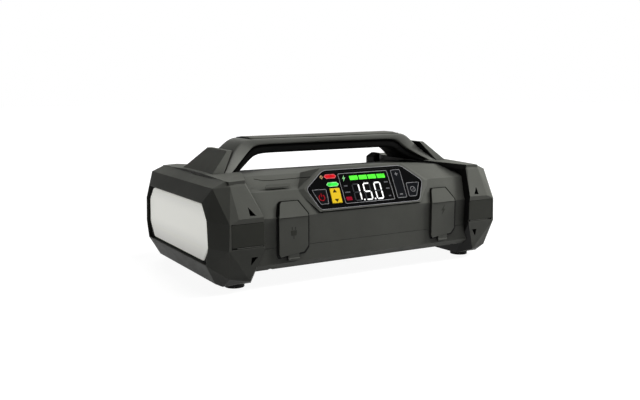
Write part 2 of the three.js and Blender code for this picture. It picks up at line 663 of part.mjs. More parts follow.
function jumperSocket() {
  const shell = block(
    [BODY_END - 18, JUMPER.y - JUMPER.halfY, JUMPER.z - JUMPER.halfZ],
    [lensFront + 1, JUMPER.y + JUMPER.halfY, JUMPER.z + JUMPER.halfZ],
  );
  const flange = block(
    [lensBack - GAP - 3, JUMPER.y - JUMPER.halfY - 4, JUMPER.z - JUMPER.halfZ - 4],
    [lensBack - GAP, JUMPER.y + JUMPER.halfY + 4, JUMPER.z + JUMPER.halfZ + 4],
  );
  const pins = [-1, 1].map((side) =>
    discX(JUMPER.pin, lensFront - 16, TIP, JUMPER.y + (side * JUMPER.pinPitch) / 2, JUMPER.z),
  );
  return shell.add(flange).subtract(joined(pins));
}
place("jumper_socket", jumperSocket(), SOCKET_BLUE());

const FLAP = { thick: 2, reach: 2, knuckle: 1.5 };
function jumperFlap() {
  const back = lensFront + GAP + 1;
  const front = back + FLAP.thick;
  const low = JUMPER.z - JUMPER.halfZ - FLAP.reach;
  const lid = block(
    [back, JUMPER.y - JUMPER.halfY - FLAP.reach, low],
    [front, JUMPER.y + JUMPER.halfY + FLAP.reach, JUMPER.z + JUMPER.halfZ + 4],
  );
  const hingeZ = low - FLAP.knuckle;
  const strap = block([back, JUMPER.y - JUMPER.halfY, hingeZ], [front, JUMPER.y + JUMPER.halfY, low + 1]);
  const knuckle = prismY(
    circle(FLAP.knuckle, 16, front - FLAP.knuckle / 2, hingeZ),
    JUMPER.y - JUMPER.halfY,
    JUMPER.y + JUMPER.halfY,
  );
  return joined([lid, strap, knuckle]);
}
place("jumper_socket_flap", jumperFlap(), PORT_RUBBER());

// ---- Feet and screws -------------------------------------------------------------------------------

for (const [sx, sy] of corners) {
  const x = sx * FOOT_X;
  const y = sy * FOOT_Y;
  const pad = disc(FOOT_RADIUS, 0, CAP_BOTTOM - GAP, UP_Z, 24, x, y);
  const stem = disc(FOOT_RADIUS - 1, CAP_BOTTOM / 2, CAP_BOTTOM + FOOT_SEAT - GAP, UP_Z, 24, x, y);
  place("foot_" + cornerName(sx, sy), pad.add(stem), SOFT_BLACK());
}

function screw(x, y, headBottom, top) {
  const head = disc(SCREW_HEAD, headBottom, headBottom + 2, UP_Z, 16, x, y);
  const shank = disc(SCREW_RADIUS, headBottom + 1, top, UP_Z, 12, x, y);
  return head.add(shank).subtract(disc(1.4, headBottom - OVER, headBottom + 1.2, UP_Z, 6, x, y));
}
for (const [sx, sy] of corners) {
  const caseHead = BODY_BOTTOM + 3 - 2 - GAP;
  const capHead = CAP_BOTTOM + 4 - 2 - GAP;
  const top = BODY_BOTTOM + WALL + OVER;
  const where = cornerName(sx, sy);
  place("case_screw_" + where, screw(sx * CASE_SCREW.x, sy * CASE_SCREW.y, caseHead, PARTING + 14), STEEL());
  place("cap_screw_" + where, screw(sx * CAP_SCREW.x, sy * CAP_SCREW.y, capHead, top), STEEL());
}

// ---- Control panel ---------------------------------------------------------------------------------

function overlay() {
  const windows = Object.values(keys).map((outline) => grown(outline, KEYWAY));
  const plate = prism(panelOutline, OVERLAY_BOTTOM, OVERLAY_TOP, PANEL);
  return plate.subtract(
    joined(windows.map((outline) => prism(outline, OVERLAY_BOTTOM - OVER, PANEL_PROUD + OVER, PANEL))),
  );
}
place("panel_overlay", overlay(), GLOSS_BLACK());

for (const [name, outline] of Object.entries(keys)) {
  const cap = prism(outline, KEY_BOTTOM, OVERLAY_TOP + KEY_PROUD, PANEL);
  place(name, cap, name === "unit_key" ? YELLOW_KEY() : DARK_KEY());
}
place("display_module", prism(displayOutline, DISPLAY_BACK, OVERLAY_BOTTOM - GAP, PANEL), GLOSS_BLACK());

function controlBoard() {
  const back = BOARD_TOP - BOARD_THICK;
  const board = prism(grown(panelOutline, -4 - GAP), back, BOARD_TOP, PANEL);
  const chip = prism(rectangle(-20, -6, 14, 28), back - 2, BOARD_TOP, PANEL);
  const plug = prism(rectangle(12, 32, 12, 18), back - 5, BOARD_TOP, PANEL);
  return joined([board, chip, plug]);
}
place("control_board", controlBoard(), BOARD());

// ---- Port covers and the sockets behind them ---------------------------------------------------------

const coverFace = -HALF_BODY - GAP;
const COVER_TOP = CREASE + COVER_REACH * Math.sin(STEEP);
const TAB = { half: 5.5, thick: 2, knuckle: 1.3 };
const HINGE_Z = COVER_BOTTOM - 2.7; // the covers turn about the knuckle of this tab

// One cover: an upright leaf, a leaf that leans back along the shoulder, a plug and the hinge tab below.
function portCover(x) {
  const left = -COVER_WIDTH / 2;
  const right = COVER_WIDTH / 2;
  const front = coverFace - COVER_THICK;
  const bend = CREASE - COVER_THICK * Math.tan(STEEP / 4); // where the two leaves' outer faces meet
  const upright = prismY(
    [
      [x + left + 1.5, COVER_BOTTOM],
      [x + right - 4, COVER_BOTTOM + 3],
      [x + right, COVER_BOTTOM + COVER_BEVEL + 1],
      [x + right, bend],
      [x + left, bend],
      [x + left, COVER_BOTTOM + 3],
    ],
    front,
    coverFace,
  );
  const leanOutline = [
    [left, -1.5],
    [right, -1.5],
    [right, 1],
    [right - COVER_BEVEL, COVER_REACH],
    [left + 6, COVER_REACH],
    [left + 4, COVER_REACH - 2],
  ].map(([a, b]) => [a + x - PANEL_X, b]);
  const lean = prism(leanOutline, GAP, GAP + COVER_THICK, PANEL);
  const elbow = hull(
    [x + left, x + right].flatMap((side) => [
      [side, front, CREASE - 3],
      [side, coverFace, CREASE - 3],
      [side, coverFace, CREASE],
      [side, front, bend + 0.6],
      [side, front + COVER_THICK / 2 + 0.2, CREASE + 1.2],
      [side, coverFace + 0.2, CREASE + 0.6],
    ]),
  );
  const plug = portPocket(x, coverFace - 1, -HALF_BODY + 0.8).intersect(
    block(
      [x - POCKET.half + GAP, -HALF_BODY - 2, POCKET.low + GAP],
      [x + POCKET.half - GAP, 0, POCKET.high - GAP],
    ),
  );
  const tab = block(
    [x - TAB.half, coverFace - TAB.thick, HINGE_Z],
    [x + TAB.half, coverFace, COVER_BOTTOM + 3.5],
  );
  const knuckle = discX(TAB.knuckle, x - TAB.half, x + TAB.half, coverFace - TAB.knuckle, HINGE_Z, 16);
  return joined([upright, lean, elbow, plug, tab, knuckle]);
}
place("left_port_cover", portCover(LEFT_COVER_X), PORT_RUBBER());
place("right_port_cover", portCover(RIGHT_COVER_X), PORT_RUBBER());

const BLOCK_DEPTH = 14;
const blockFront = -HALF_BODY + 1.4; // the socket blocks look through the pocket from just behind its lip
function socketBlock(x, cutters) {
  const nose = block(
    [x - POCKET.half + GAP, blockFront, POCKET.low + GAP],
    [x + POCKET.half - GAP, blockFront + BLOCK_DEPTH, POCKET.high - GAP],
  );
  const flange = block(
    [x - POCKET.half - 2.5, -HALF_BODY + WALL + GAP, POCKET.low - 2.5],
    [x + POCKET.half + 2.5, -HALF_BODY + WALL + GAP + 2, POCKET.high + 2.5],
  );
  return nose.add(flange).subtract(joined(cutters));
}
const USB = { wide: 12.6, high: 5.4, deep: 11, rows: 3 };
function usbCutters(x) {
  const middle = (POCKET.low + POCKET.high) / 2;
  const pitch = (POCKET.high - POCKET.low - 0.5) / USB.rows;
  return Array.from({ length: USB.rows }, (_, row) => {
    const z = middle + (row - (USB.rows - 1) / 2) * pitch;
    return block(
      [x - USB.wide / 2, blockFront - OVER, z - USB.high / 2],
      [x + USB.wide / 2, blockFront + USB.deep, z + USB.high / 2],
    );
  });
}
place("usb_port_block", socketBlock(LEFT_COVER_X, usbCutters(LEFT_COVER_X)), GLOSS_BLACK());

const DC = { radius: 4.2, z: POCKET.high - 5, usbZ: POCKET.low + 8 };
const dcCutters = [
  discY(DC.radius, blockFront - OVER, blockFront + USB.deep, RIGHT_COVER_X, DC.z, 16),
  block(
    [RIGHT_COVER_X - USB.wide / 2, blockFront - OVER, DC.usbZ - USB.high / 2],
    [RIGHT_COVER_X + USB.wide / 2, blockFront + USB.deep, DC.usbZ + USB.high / 2],
  ),
];
place("dc_port_block", socketBlock(RIGHT_COVER_X, dcCutters), GLOSS_BLACK());

// ---- Battery ---------------------------------------------------------------------------------------

const FLOOR = BODY_BOTTOM + WALL;
const cellPitch = (CELLS_END + CELL.between - CELLS_X) / CELL.count;
function batteryTray() {
  const half = CELL.deep / 2 + 3;
  const low = FLOOR + GAP;
  const outer = block([CELLS_X - 3, -half, low], [CELLS_END + 3, half, low + TRAY_HIGH]);
  return outer.subtract(
    block([CELLS_X - 1, 2 - half, low + TRAY_FLOOR], [CELLS_END + 1, half - 2, low + TRAY_HIGH + OVER]),
  );
}
place("battery_tray", batteryTray(), NYLON());

const cellBottom = FLOOR + GAP + TRAY_FLOOR + GAP;
const TERMINAL = { half: 8, inset: 22, thick: 4, high: 3 };
for (let i = 0; i < CELL.count; i += 1) {
  const x = CELLS_X + i * cellPitch;
  const thick = cellPitch - CELL.between;
  const top = cellBottom + CELL.high;
  const wrap = block([x, -CELL.deep / 2, cellBottom], [x + thick, CELL.deep / 2, top]);
  const terminals = [-1, 1].map((side) => {
    const y = side * (CELL.deep / 2 - TERMINAL.inset);
    const middle = x + thick / 2;
    return block(
      [middle - TERMINAL.thick / 2, y - TERMINAL.half, top - OVER],
      [middle + TERMINAL.thick / 2, y + TERMINAL.half, top + TERMINAL.high],
    );
  });
  place("battery_cell_" + (i + 1), joined([wrap, ...terminals]), CELL_WRAP());
}

// The power board lies on the cells' terminals.
const POWER = { front: -42, back: 30, thick: 1.6, relay: [20, 14, 7], capacitor: 4, tall: 7 };
function powerBoard() {
  const low = cellBottom + CELL.high + TERMINAL.high + GAP;
  const left = CELLS_X + 6;
  const right = CELLS_END - 6;
  const top = low + POWER.thick;
  const board = block([left, POWER.front, low], [right, POWER.back, top]);
  const [long, deep, high] = POWER.relay;
  const relayEnd = left + 6 + long;
  const relay = block([left + 6, -deep / 2, top - OVER / 2], [relayEnd, deep / 2, top + high]);
  const capacitors = [1, 2, 3].map((place) => {
    const x = relayEnd + ((right - relayEnd) * place) / 5;
    return disc(POWER.capacitor, top - OVER / 2, top + POWER.tall, UP_Z, 16, x, POWER.back / 2);
  });
  return joined([board, relay, ...capacitors]);
}
place("power_board", powerBoard(), BOARD());

// ---- Inflator --------------------------------------------------------------------------------------

const ROD_X = GEAR_X + CRANK_RADIUS; // the crank stands at its outer dead centre
const PISTON_FACE = ROD_X + ROD_LENGTH + PISTON_LENGTH;
const CYLINDER_X = GEAR_X + (MODULE * GEAR_TEETH) / 2 + 1.5;
const cylinderY = ROD_Y + ROD_THICK / 2;
const outer = BORE + CYLINDER_WALL;

function motor() {
  const can = discY(MOTOR_RADIUS, FRAME_Y - GAP - MOTOR_LENGTH, FRAME_Y - GAP, PINION_X, AXIS_Z, 32);
  const boss = discY(6, FRAME_Y - 2, FRAME_Y + FRAME_THICK, PINION_X, AXIS_Z);
  const bore = discY(MOTOR_SHAFT + GAP, FRAME_Y - 22, GEAR_Y, PINION_X, AXIS_Z, 16);
  const brushCap = discY(7, FRAME_Y - MOTOR_LENGTH - 4, FRAME_Y - MOTOR_LENGTH + 2, PINION_X, AXIS_Z);
  return joined([can, boss, brushCap]).subtract(bore);
}
place("inflator_motor", motor(), STEEL());

// A spur gear's outline: a tooth is a trapezium on the root circle; the first tooth or gap points along +X.
function gearOutline(teeth, x, firstIsGap) {
  const pitch = (MODULE * teeth) / 2;
  const root = pitch - 1.3 * MODULE;
  const tip = pitch + 0.85 * MODULE;
  const step = (2 * Math.PI) / teeth;
  const start = firstIsGap ? step / 2 : 0;
  const flank = [[root, -0.33], [tip, -0.14], [tip, 0.14], [root, 0.33]];
  return Array.from({ length: teeth }, (_, i) =>
    flank.map(([radius, share]) => {
      const turn = start + (i + share) * step;
      return [x + radius * Math.cos(turn), AXIS_Z + radius * Math.sin(turn)];
    }),
  ).flat();
}
const pinion = prismY(gearOutline(PINION_TEETH, PINION_X, false), GEAR_Y, GEAR_Y + GEAR_WIDTH);
const shaft = discY(MOTOR_SHAFT, FRAME_Y - 20, GEAR_Y + 1, PINION_X, AXIS_Z, 16);
place("motor_pinion", pinion.add(shaft), STEEL());

function crankGear() {
  // The gear's tooth gap at its left side takes the pinion's tooth at its right side.
  const wheel = prismY(gearOutline(GEAR_TEETH, GEAR_X, true), GEAR_Y, GEAR_Y + GEAR_WIDTH);
  const pin = discY(CRANK_PIN, GEAR_Y + GEAR_WIDTH - 1, ROD_Y - GAP, ROD_X, AXIS_Z, 16);
  const weights = [0, 1, 2, 3].map((i) => {
    const turn = Math.PI / 4 + (i * Math.PI) / 2;
    const x = GEAR_X + 15.5 * Math.cos(turn);
    const z = AXIS_Z + 15.5 * Math.sin(turn);
    return discY(4, GEAR_Y - OVER, GEAR_Y + GEAR_WIDTH + OVER, x, z, 16);
  });
  const bore = discY(AXLE + GAP, GEAR_Y - OVER, GEAR_Y + GEAR_WIDTH + OVER, GEAR_X, AXIS_Z);
  return wheel.subtract(joined(weights)).subtract(bore).add(pin);
}
place("crank_gear", crankGear(), NYLON());

function inflatorFrame() {
  const low = FLOOR + GAP;
  const plateEnd = CYLINDER_X + 26;
  const front = FRAME_Y - MOTOR_LENGTH + 6;
  const plate = prismY(
    [
      [FRAME_LEFT, low],
      [plateEnd, low],
      [plateEnd, AXIS_Z + 10],
      [GEAR_X, AXIS_Z + 27],
      [FRAME_LEFT, AXIS_Z + 20],
    ],
    FRAME_Y,
    FRAME_Y + FRAME_THICK,
  );
  const sole = block([FRAME_LEFT, front + 14, low], [plateEnd, cylinderY + outer, low + FRAME_THICK]);
  const saddle = block([PINION_X - 14, front, low], [PINION_X + 14, front + 14 + OVER, AXIS_Z - 8]);
  const axle = discY(AXLE, FRAME_Y + 1, GEAR_Y + GEAR_WIDTH, GEAR_X, AXIS_Z);
  const collar = discY(AXLE + 3, FRAME_Y + 1, GEAR_Y - GAP, GEAR_X, AXIS_Z);
  const cradle = block([CYLINDER_X + 4, FRAME_Y, low], [plateEnd, cylinderY + 10, AXIS_Z - 4]);
  return joined([plate, sole, saddle, axle, collar, cradle])
    .subtract(discY(6 + GAP, FRAME_Y - OVER, FRAME_Y + FRAME_THICK + OVER, PINION_X, AXIS_Z))
    .subtract(discY(MOTOR_RADIUS + GAP, front - OVER, FRAME_Y - GAP / 2, PINION_X, AXIS_Z, 32))
    .subtract(discX(outer + GAP, CYLINDER_X - OVER, plateEnd + OVER, cylinderY, AXIS_Z, 32));
}
place("inflator_frame", inflatorFrame(), ALUMINIUM());

function cylinder() {
  const end = PISTON_FACE + 1.5;
  const tube = prism(circle(outer, 32, cylinderY, AXIS_Z), CYLINDER_X, end, ALONG_X);
  return tube.subtract(discX(BORE, CYLINDER_X - OVER, end + OVER, cylinderY, AXIS_Z, 32));
}
place("inflator_cylinder", cylinder(), ALUMINIUM());

const HEAD_X = PISTON_FACE + 1.5 + GAP;
const HEAD_THICK = 6;
function cylinderHead() {
  const plate = discX(outer, HEAD_X, HEAD_X + HEAD_THICK, cylinderY, AXIS_Z, 32);
  return plate.subtract(discX(2, HEAD_X - OVER, HEAD_X + HEAD_THICK + OVER, cylinderY, AXIS_Z, 12));
}
place("cylinder_head", cylinderHead(), ALUMINIUM());

function pistonAndRod() {
  const small = 0.3; // running clearance of the piston in its bore
  const crown = discX(BORE - small, PISTON_FACE - PISTON_LENGTH, PISTON_FACE, cylinderY, AXIS_Z, 32);
  const bigEnd = discY(5, ROD_Y, ROD_Y + ROD_THICK, ROD_X, AXIS_Z);
  const rod = block(
    [ROD_X, ROD_Y, AXIS_Z - 3],
    [PISTON_FACE - PISTON_LENGTH + OVER, ROD_Y + ROD_THICK, AXIS_Z + 3],
  );
  return joined([crown, bigEnd, rod]);
}
place("piston_and_rod", pistonAndRod(), ALUMINIUM());

function airOutlet() {
  const start = HEAD_X + HEAD_THICK + GAP;
  const stem = discX(OUTLET.radius, start, lensFront + 2, OUTLET.y, OUTLET.z);
  const collar = discX(OUTLET.radius + 3, lensBack - GAP - 3, lensBack - GAP, OUTLET.y, OUTLET.z, 6);
  const bore = discX(2.2, start - OVER, lensFront + 4, OUTLET.y, OUTLET.z, 12);
  return stem.add(collar).subtract(bore);
}
place("air_outlet", airOutlet(), STEEL());

// ---- Hose clip behind the handle ---------------------------------------------------------------------

const CLIP = {
  left: INNER - 11.5,
  right: INNER - 3,
  front: HALF_FOOT + 16,
  back: HALF_BODY - 23.5,
  top: DECK + 4,
  slot: 3,
};
function hoseClip() {
  const drop = (REAR_SHOULDER_DROP - REAR_SLOPE_DROP) / (HALF_BODY - SHOULDER_RUN - DECK_FRONT);
  const seat = (y) => DECK - REAR_SLOPE_DROP - (y - DECK_FRONT) * drop + GAP;
  const side = prismX(
    [
      [CLIP.front, seat(CLIP.front)],
      [CLIP.back, seat(CLIP.back)],
      [CLIP.back, CLIP.top - 4],
      [CLIP.back - 4, CLIP.top],
      [CLIP.front + 1, CLIP.top],
      [CLIP.front, CLIP.top - 1],
    ],
    CLIP.left,
    CLIP.right,
  );
  const face = prismY(
    [
      [CLIP.left, 0],
      [CLIP.right, 0],
      [CLIP.right, CLIP.top],
      [CLIP.left + 4.5, CLIP.top],
      [CLIP.left, CLIP.top - 5],
    ],
    CLIP.front - OVER,
    CLIP.back + OVER,
  );
  const slot = block(
    [CLIP.left + 3, CLIP.front - OVER, seat(CLIP.front) + 2],
    [CLIP.right - 2, CLIP.front + CLIP.slot, CLIP.top - 3.5],
  );
  return side.intersect(face).subtract(slot);
}
place("hose_clip", hoseClip(), SOFT_BLACK());

export default jumpStarter;
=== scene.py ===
import json
import math

import bmesh
import bpy
from mathutils import Matrix, Vector


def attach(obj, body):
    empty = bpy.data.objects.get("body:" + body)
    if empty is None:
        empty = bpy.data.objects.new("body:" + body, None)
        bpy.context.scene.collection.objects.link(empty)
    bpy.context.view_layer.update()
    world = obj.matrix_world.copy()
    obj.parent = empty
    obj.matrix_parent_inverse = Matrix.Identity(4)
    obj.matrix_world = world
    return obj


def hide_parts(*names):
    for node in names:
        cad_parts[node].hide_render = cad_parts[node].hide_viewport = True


bl_info = {
    "name": "Jump Starter Pack",
    "version": (1, 0, 0),
    "blender": (4, 5, 0),
    "location": "3D View > Sidebar > Jump Starter",
    "description": "Dresses the frame of a jump starter pack with an inflator, piece by piece",
    "category": "Object",
}

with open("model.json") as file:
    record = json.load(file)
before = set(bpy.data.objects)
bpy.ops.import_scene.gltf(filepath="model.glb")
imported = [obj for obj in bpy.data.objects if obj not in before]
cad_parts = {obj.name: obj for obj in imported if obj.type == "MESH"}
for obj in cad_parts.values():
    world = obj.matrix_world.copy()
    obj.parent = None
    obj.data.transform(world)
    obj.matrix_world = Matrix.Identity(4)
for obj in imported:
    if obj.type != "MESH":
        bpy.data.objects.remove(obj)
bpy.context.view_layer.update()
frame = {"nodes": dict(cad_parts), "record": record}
BODY_OF = {node: body for body, nodes in frame["record"]["behaviour"]["bodies"].items() for node in nodes}

# Lengths are given in millimetres and turned to metres where they are used.
MM = 0.001
PANEL_TILT = math.radians(60)
PANEL_MIDDLE = 2.6
PANEL_FOOT = 62.0  # the height of the control panel's lower edge
HALF_BODY = 91.5
PAD_FLOOR = 97.75  # how far out the floor of a side pad's recess stands
PAD_DEEP = 1.2
OVERLAY_TOP = 0.9  # heights over the panel's slope: the glass,
KEY_TOP = 1.4  # the keys,
RIM_TOP = 1.4  # and the raised housing round the panel
PRINT = 0.06  # how far a print stands out
COVER_FRONT = -94.0  # the face of a port cover
SUNK = (-0.2, 0.05)  # from where to where a sign in a cover's face reaches
# from where to where the black strips of painted shade round the port covers reach over the shell
SHADE_STRIP_SPAN = (0.02, 0.22)
SMOOTH = math.radians(40)
FACET = math.radians(6)  # edges bent less than this stay crisp


def panel_plane(x=PANEL_MIDDLE):
    """The plane of the tilted control panel: along it, up it and out of it."""
    along = Vector((1, 0, 0))
    up = Vector((0, math.cos(PANEL_TILT), math.sin(PANEL_TILT)))
    return plane(along, up, along.cross(up), Vector((x, -HALF_BODY, PANEL_FOOT)) * MM)


def plane(along, up, out, corner):
    turned = Matrix((along, up, out)).transposed().to_4x4()
    return Matrix.Translation(corner) @ turned


def front_plane(y, x=0.0, z=0.0):
    """An upright plane that faces the front."""
    return plane(Vector((1, 0, 0)), Vector((0, 0, 1)), Vector((0, -1, 0)), Vector((x, y, z)) * MM)


def rear_plane(y):
    return plane(Vector((-1, 0, 0)), Vector((0, 0, 1)), Vector((0, 1, 0)), Vector((0, y, 0)) * MM)


def left_plane(x):
    """An upright plane that faces the light's end."""
    return plane(Vector((0, -1, 0)), Vector((0, 0, 1)), Vector((-1, 0, 0)), Vector((x, 0, 0)) * MM)


# ---- Modelling ----


def clear_selection():
    if bpy.context.object and bpy.context.object.mode != "OBJECT":
        bpy.ops.object.mode_set(mode="OBJECT")
    bpy.ops.object.select_all(action="DESELECT")


def take(piece):
    clear_selection()
    piece.select_set(True)
    bpy.context.view_layer.objects.active = piece


def edit(piece):
    take(piece)
    bpy.ops.object.mode_set(mode="EDIT")
    bpy.ops.mesh.select_mode(type="VERT")
    bpy.ops.mesh.select_all(action="SELECT")


def leave():
    bpy.ops.object.mode_set(mode="OBJECT")


def apply_modifier(piece, name, kind, **settings):
    take(piece)
    modifier = piece.modifiers.new(name, kind)
    for key, value in settings.items():
        setattr(modifier, key, value)
    bpy.ops.object.modifier_apply(modifier=modifier.name)


def round_edges(piece, width, segments, angle, **settings):
    """Rounds every edge sharper than the angle."""
    apply_modifier(piece, "Rounded edges", "BEVEL", width=width * MM, segments=segments, limit_method="ANGLE",
                   angle_limit=angle, **settings)


def weigh_normals(piece):
    """Large faces stay flat right up to their rounded edges."""
    apply_modifier(piece, "Flat faces", "WEIGHTED_NORMAL", mode="FACE_AREA", weight=100, keep_sharp=True)


def flat(name, outline, corner=0.0):
    """A filled outline with its corners rounded."""
    clear_selection()
    bpy.ops.mesh.primitive_circle_add(vertices=len(outline), radius=1.0, fill_type="NGON")
    piece = bpy.context.object
    piece.name = piece.data.name = name
    for vertex, (u, v) in zip(piece.data.vertices, outline):
        vertex.co = (u * MM, v * MM, 0.0)
    if corner:
        edit(piece)
        bpy.ops.mesh.bevel(
            offset=corner * MM, offset_type="OFFSET", segments=4, affect="VERTICES", clamp_overlap=True
        )
        leave()
    return piece


def stand(piece, low, high, place, edge=0.0):
    """Draws a flat piece out between two heights, closes it and puts it in its place."""
    edit(piece)
    bpy.ops.transform.translate(value=(0, 0, low * MM))
    bpy.ops.mesh.extrude_region_move(TRANSFORM_OT_translate={"value": (0, 0, (high - low) * MM)})
    bpy.ops.mesh.select_all(action="SELECT")
    bpy.ops.mesh.normals_make_consistent(inside=False)
    leave()
    if edge:
        round_edges(piece, edge, 2, math.radians(35), miter_outer="MITER_ARC")
        bpy.ops.object.shade_smooth_by_angle(angle=SMOOTH)
        weigh_normals(piece)
    piece.matrix_world = place
    take(piece)
    bpy.ops.object.transform_apply(location=True, rotation=True, scale=True)
    return piece


def plate(name, outline, low, high, place, corner=0.0, edge=0.0):
    return stand(flat(name, outline, corner), low, high, place, edge)


def ring(name, outline, width, low, high, place, corner=0.0, edge=0.0):
    """A flat ring that follows the inside of an outline."""
    piece = flat(name, outline, corner)
    edit(piece)
    bpy.ops.mesh.select_mode(type="FACE")
    bpy.ops.mesh.select_all(action="SELECT")
    bpy.ops.mesh.inset(thickness=width * MM)
    bpy.ops.mesh.delete(type="FACE")
    leave()
    return stand(piece, low, high, place, edge)


def circle(radius, sides, u=0.0, v=0.0, start=0.0, end=360.0):
    steps = [math.radians(start + (end - start) * i / sides) for i in range(sides + (end - start < 360))]
    return [(u + radius * math.cos(a), v + radius * math.sin(a)) for a in steps]


def arc_band(radius, width, start, end, u, v, sides=24):
    """A band of even width that follows an arc."""
    outer = circle(radius + width / 2, sides, u, v, start, end)
    inner = circle(radius - width / 2, sides, u, v, start, end)
    return outer + inner[::-1]


def box_outline(u, v, wide, high):
    """A rectangle about its middle."""
    left, right, low, top = u - wide / 2, u + wide / 2, v - high / 2, v + high / 2
    return [(left, low), (right, low), (right, top), (left, top)]


def join(name, pieces):
    clear_selection()
    for piece in pieces:
        piece.select_set(True)
    bpy.context.view_layer.objects.active = pieces[0]
    if len(pieces) > 1:
        bpy.ops.object.join()
    whole = bpy.context.view_layer.objects.active
    whole.name = whole.data.name = name
    return whole


def give(piece, material, body="housing"):
    """Puts a finish on a piece and lets it move with a body."""
    piece.data.materials.clear()
    piece.data.materials.append(finish(material))
    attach(piece, body)
    return piece


def finish_node(name, material):
    """A piece of the frame that keeps its shape gets its finish."""
    node = frame["nodes"][name]
    node.data.materials.clear()
    node.data.materials.append(finish(material))


def keep_facets(piece):
    """Edges too slight to be rounded stay crisp, so that no facet is shaded like a curve."""
    faces = bmesh.new()
    faces.from_mesh(piece.data)
    for face in faces.faces:
        face.smooth = True
    for edge in faces.edges:
        if edge.is_manifold and edge.calc_face_angle(0.0) < FACET:
            edge.smooth = False
    faces.to_mesh(piece.data)
    faces.free()


def dress(name, material, width, segments=3):
    """A smooth-edged piece that stands for a piece of the frame."""
    clear_selection()
    node = frame["nodes"][name]
    piece = bpy.data.objects.new(name + "_dressed", node.data.copy())
    bpy.context.scene.collection.objects.link(piece)
    edit(piece)
    bpy.ops.mesh.remove_doubles(threshold=0.01 * MM)
    bpy.ops.mesh.dissolve_limited(angle_limit=math.radians(0.6))
    leave()
    keep_facets(piece)
    round_edges(piece, width, segments, FACET)
    weigh_normals(piece)
    give(piece, material, BODY_OF[name])
    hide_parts(name)
    return piece


# ---- Finishes ----

WHITE = (1, 1, 1, 1)
MILKY = (0.004, 0.004, 0.004)  # how far light spreads in a milky plastic, in metres
GLOW_MIDDLE = 55.0  # the height at which the work light's window is brightest,
GLOW_EVEN = 9.0  # how far from there it stays so,
GLOW_REACH = 27.0  # and how far from there it is dimmest
FLUTE_PITCH = 2.2


def tint(red, green, blue):
    """A colour as written on screen, turned to the light it stands for."""
    shares = [c / 255 for c in (red, green, blue)]
    return tuple(((c + 0.055) / 1.055) ** 2.4 if c > 10 / 255 else c / 12.92 for c in shares)


def shade(colour, share=1.0, lift=0.0):
    """A colour made darker or paler, with its opaque fourth value."""
    return (*(min(1.0, c * share + lift) for c in colour), 1)


class Wiring:
    """Adds nodes to a tree and joins them."""

    def __init__(self, tree):
        self.tree = tree
        tree.nodes.clear()

    def add(self, kind, values=None, **settings):
        node = self.tree.nodes.new(kind)
        for key, value in settings.items():
            setattr(node, key, value)
        self.feed(node, values or {})
        return node

    def feed(self, node, values):
        """Sets a node's inputs, or links them where the value is another node's output."""
        for key, value in values.items():
            if isinstance(value, bpy.types.NodeSocket):
                self.tree.links.new(value, node.inputs[key])
            else:
                node.inputs[key].default_value = value

    def maths(self, operation, *values):
        return self.add("ShaderNodeMath", dict(enumerate(values)), operation=operation).outputs[0]

    def spread(self, value, low, high, to_low=0.0, to_high=1.0):
        """Maps a value from one range to another, and holds it there."""
        values = {"Value": value, "From Min": low, "From Max": high, "To Min": to_low, "To Max": to_high}
        return self.add("ShaderNodeMapRange", values).outputs["Result"]

    def mixed(self, share, one, other):
        node = self.add("ShaderNodeMix", {"Factor": share, "A": one, "B": other}, data_type="RGBA")
        return node.outputs["Result"]

    def noise(self, place, scale, detail, **values):
        values = {"Vector": place, "Scale": scale, "Detail": detail, **values}
        return self.add("ShaderNodeTexNoise", values).outputs[0]

    def bump(self, strength, depth, height):
        values = {"Strength": strength, "Distance": depth * MM, "Height": height}
        return self.add("ShaderNodeBump", values).outputs[0]

    def place(self):
        return self.add("ShaderNodeTexCoord").outputs["Object"]

    def group(self, name, **values):
        node = self.add("ShaderNodeGroup", node_tree=effect(name))
        for key, value in values.items():
            node.inputs[key.capitalize()].default_value = value
        return node


def new_effect(name, inputs, outputs):
    tree = bpy.data.node_groups.new(name, "ShaderNodeTree")
    for label, value in inputs.items():
        socket = tree.interface.new_socket(label, in_out="INPUT", socket_type="NodeSocketFloat")
        socket.default_value = value
    for label in outputs:
        tree.interface.new_socket(label, in_out="OUTPUT", socket_type="NodeSocketFloat")
    wires = Wiring(tree)
    return wires, wires.add("NodeGroupInput").outputs, wires.add("NodeGroupOutput")


def moulded_grain():
    """The fine pebbled skin of a moulding, and slow changes of its tone."""
    wires, given, out = new_effect("Moulded grain", {"Scale": 1800.0, "Drift": 14.0}, ("Height", "Tone"))
    place = wires.place()
    size = {"Vector": place, "Scale": given["Scale"]}
    pebbles = wires.add("ShaderNodeTexVoronoi", size, feature="SMOOTH_F1")
    fine = wires.noise(place, given["Scale"], 3.0, Roughness=0.6)
    slow = wires.noise(place, given["Drift"], 4.0, Roughness=0.6)
    height = wires.maths("MULTIPLY_ADD", pebbles.outputs["Distance"], 0.5, wires.maths("MULTIPLY", fine, 0.5))
    tone = wires.maths("MULTIPLY_ADD", fine, 0.25, wires.maths("MULTIPLY", slow, 0.75))
    wires.feed(out, {"Height": height, "Tone": wires.spread(tone, 0.38, 0.62)})
    return wires.tree


def edge_wear_and_highlight():
    """Where edges are rubbed paler by use, which also paints highlights along them."""
    wires, given, out = new_effect("Edge wear and highlight", {"Reach": 0.0012, "Amount": 1.0}, ("Mask",))
    rounded = wires.add("ShaderNodeBevel", {"Radius": given["Reach"]}, samples=4)
    face = wires.add("ShaderNodeNewGeometry").outputs["Normal"]
    agree = wires.add("ShaderNodeVectorMath", {0: rounded.outputs[0], 1: face}, operation="DOT_PRODUCT")
    bend = wires.spread(agree.outputs["Value"], 0.995, 0.86)
    patchy = wires.noise(wires.place(), 60.0, 5.0, Roughness=0.7)
    paled_edge = wires.maths("MULTIPLY", bend, wires.spread(patchy, 0.35, 0.65))
    wires.feed(out, {"Mask": wires.maths("MULTIPLY", paled_edge, given["Amount"])})
    return wires.tree


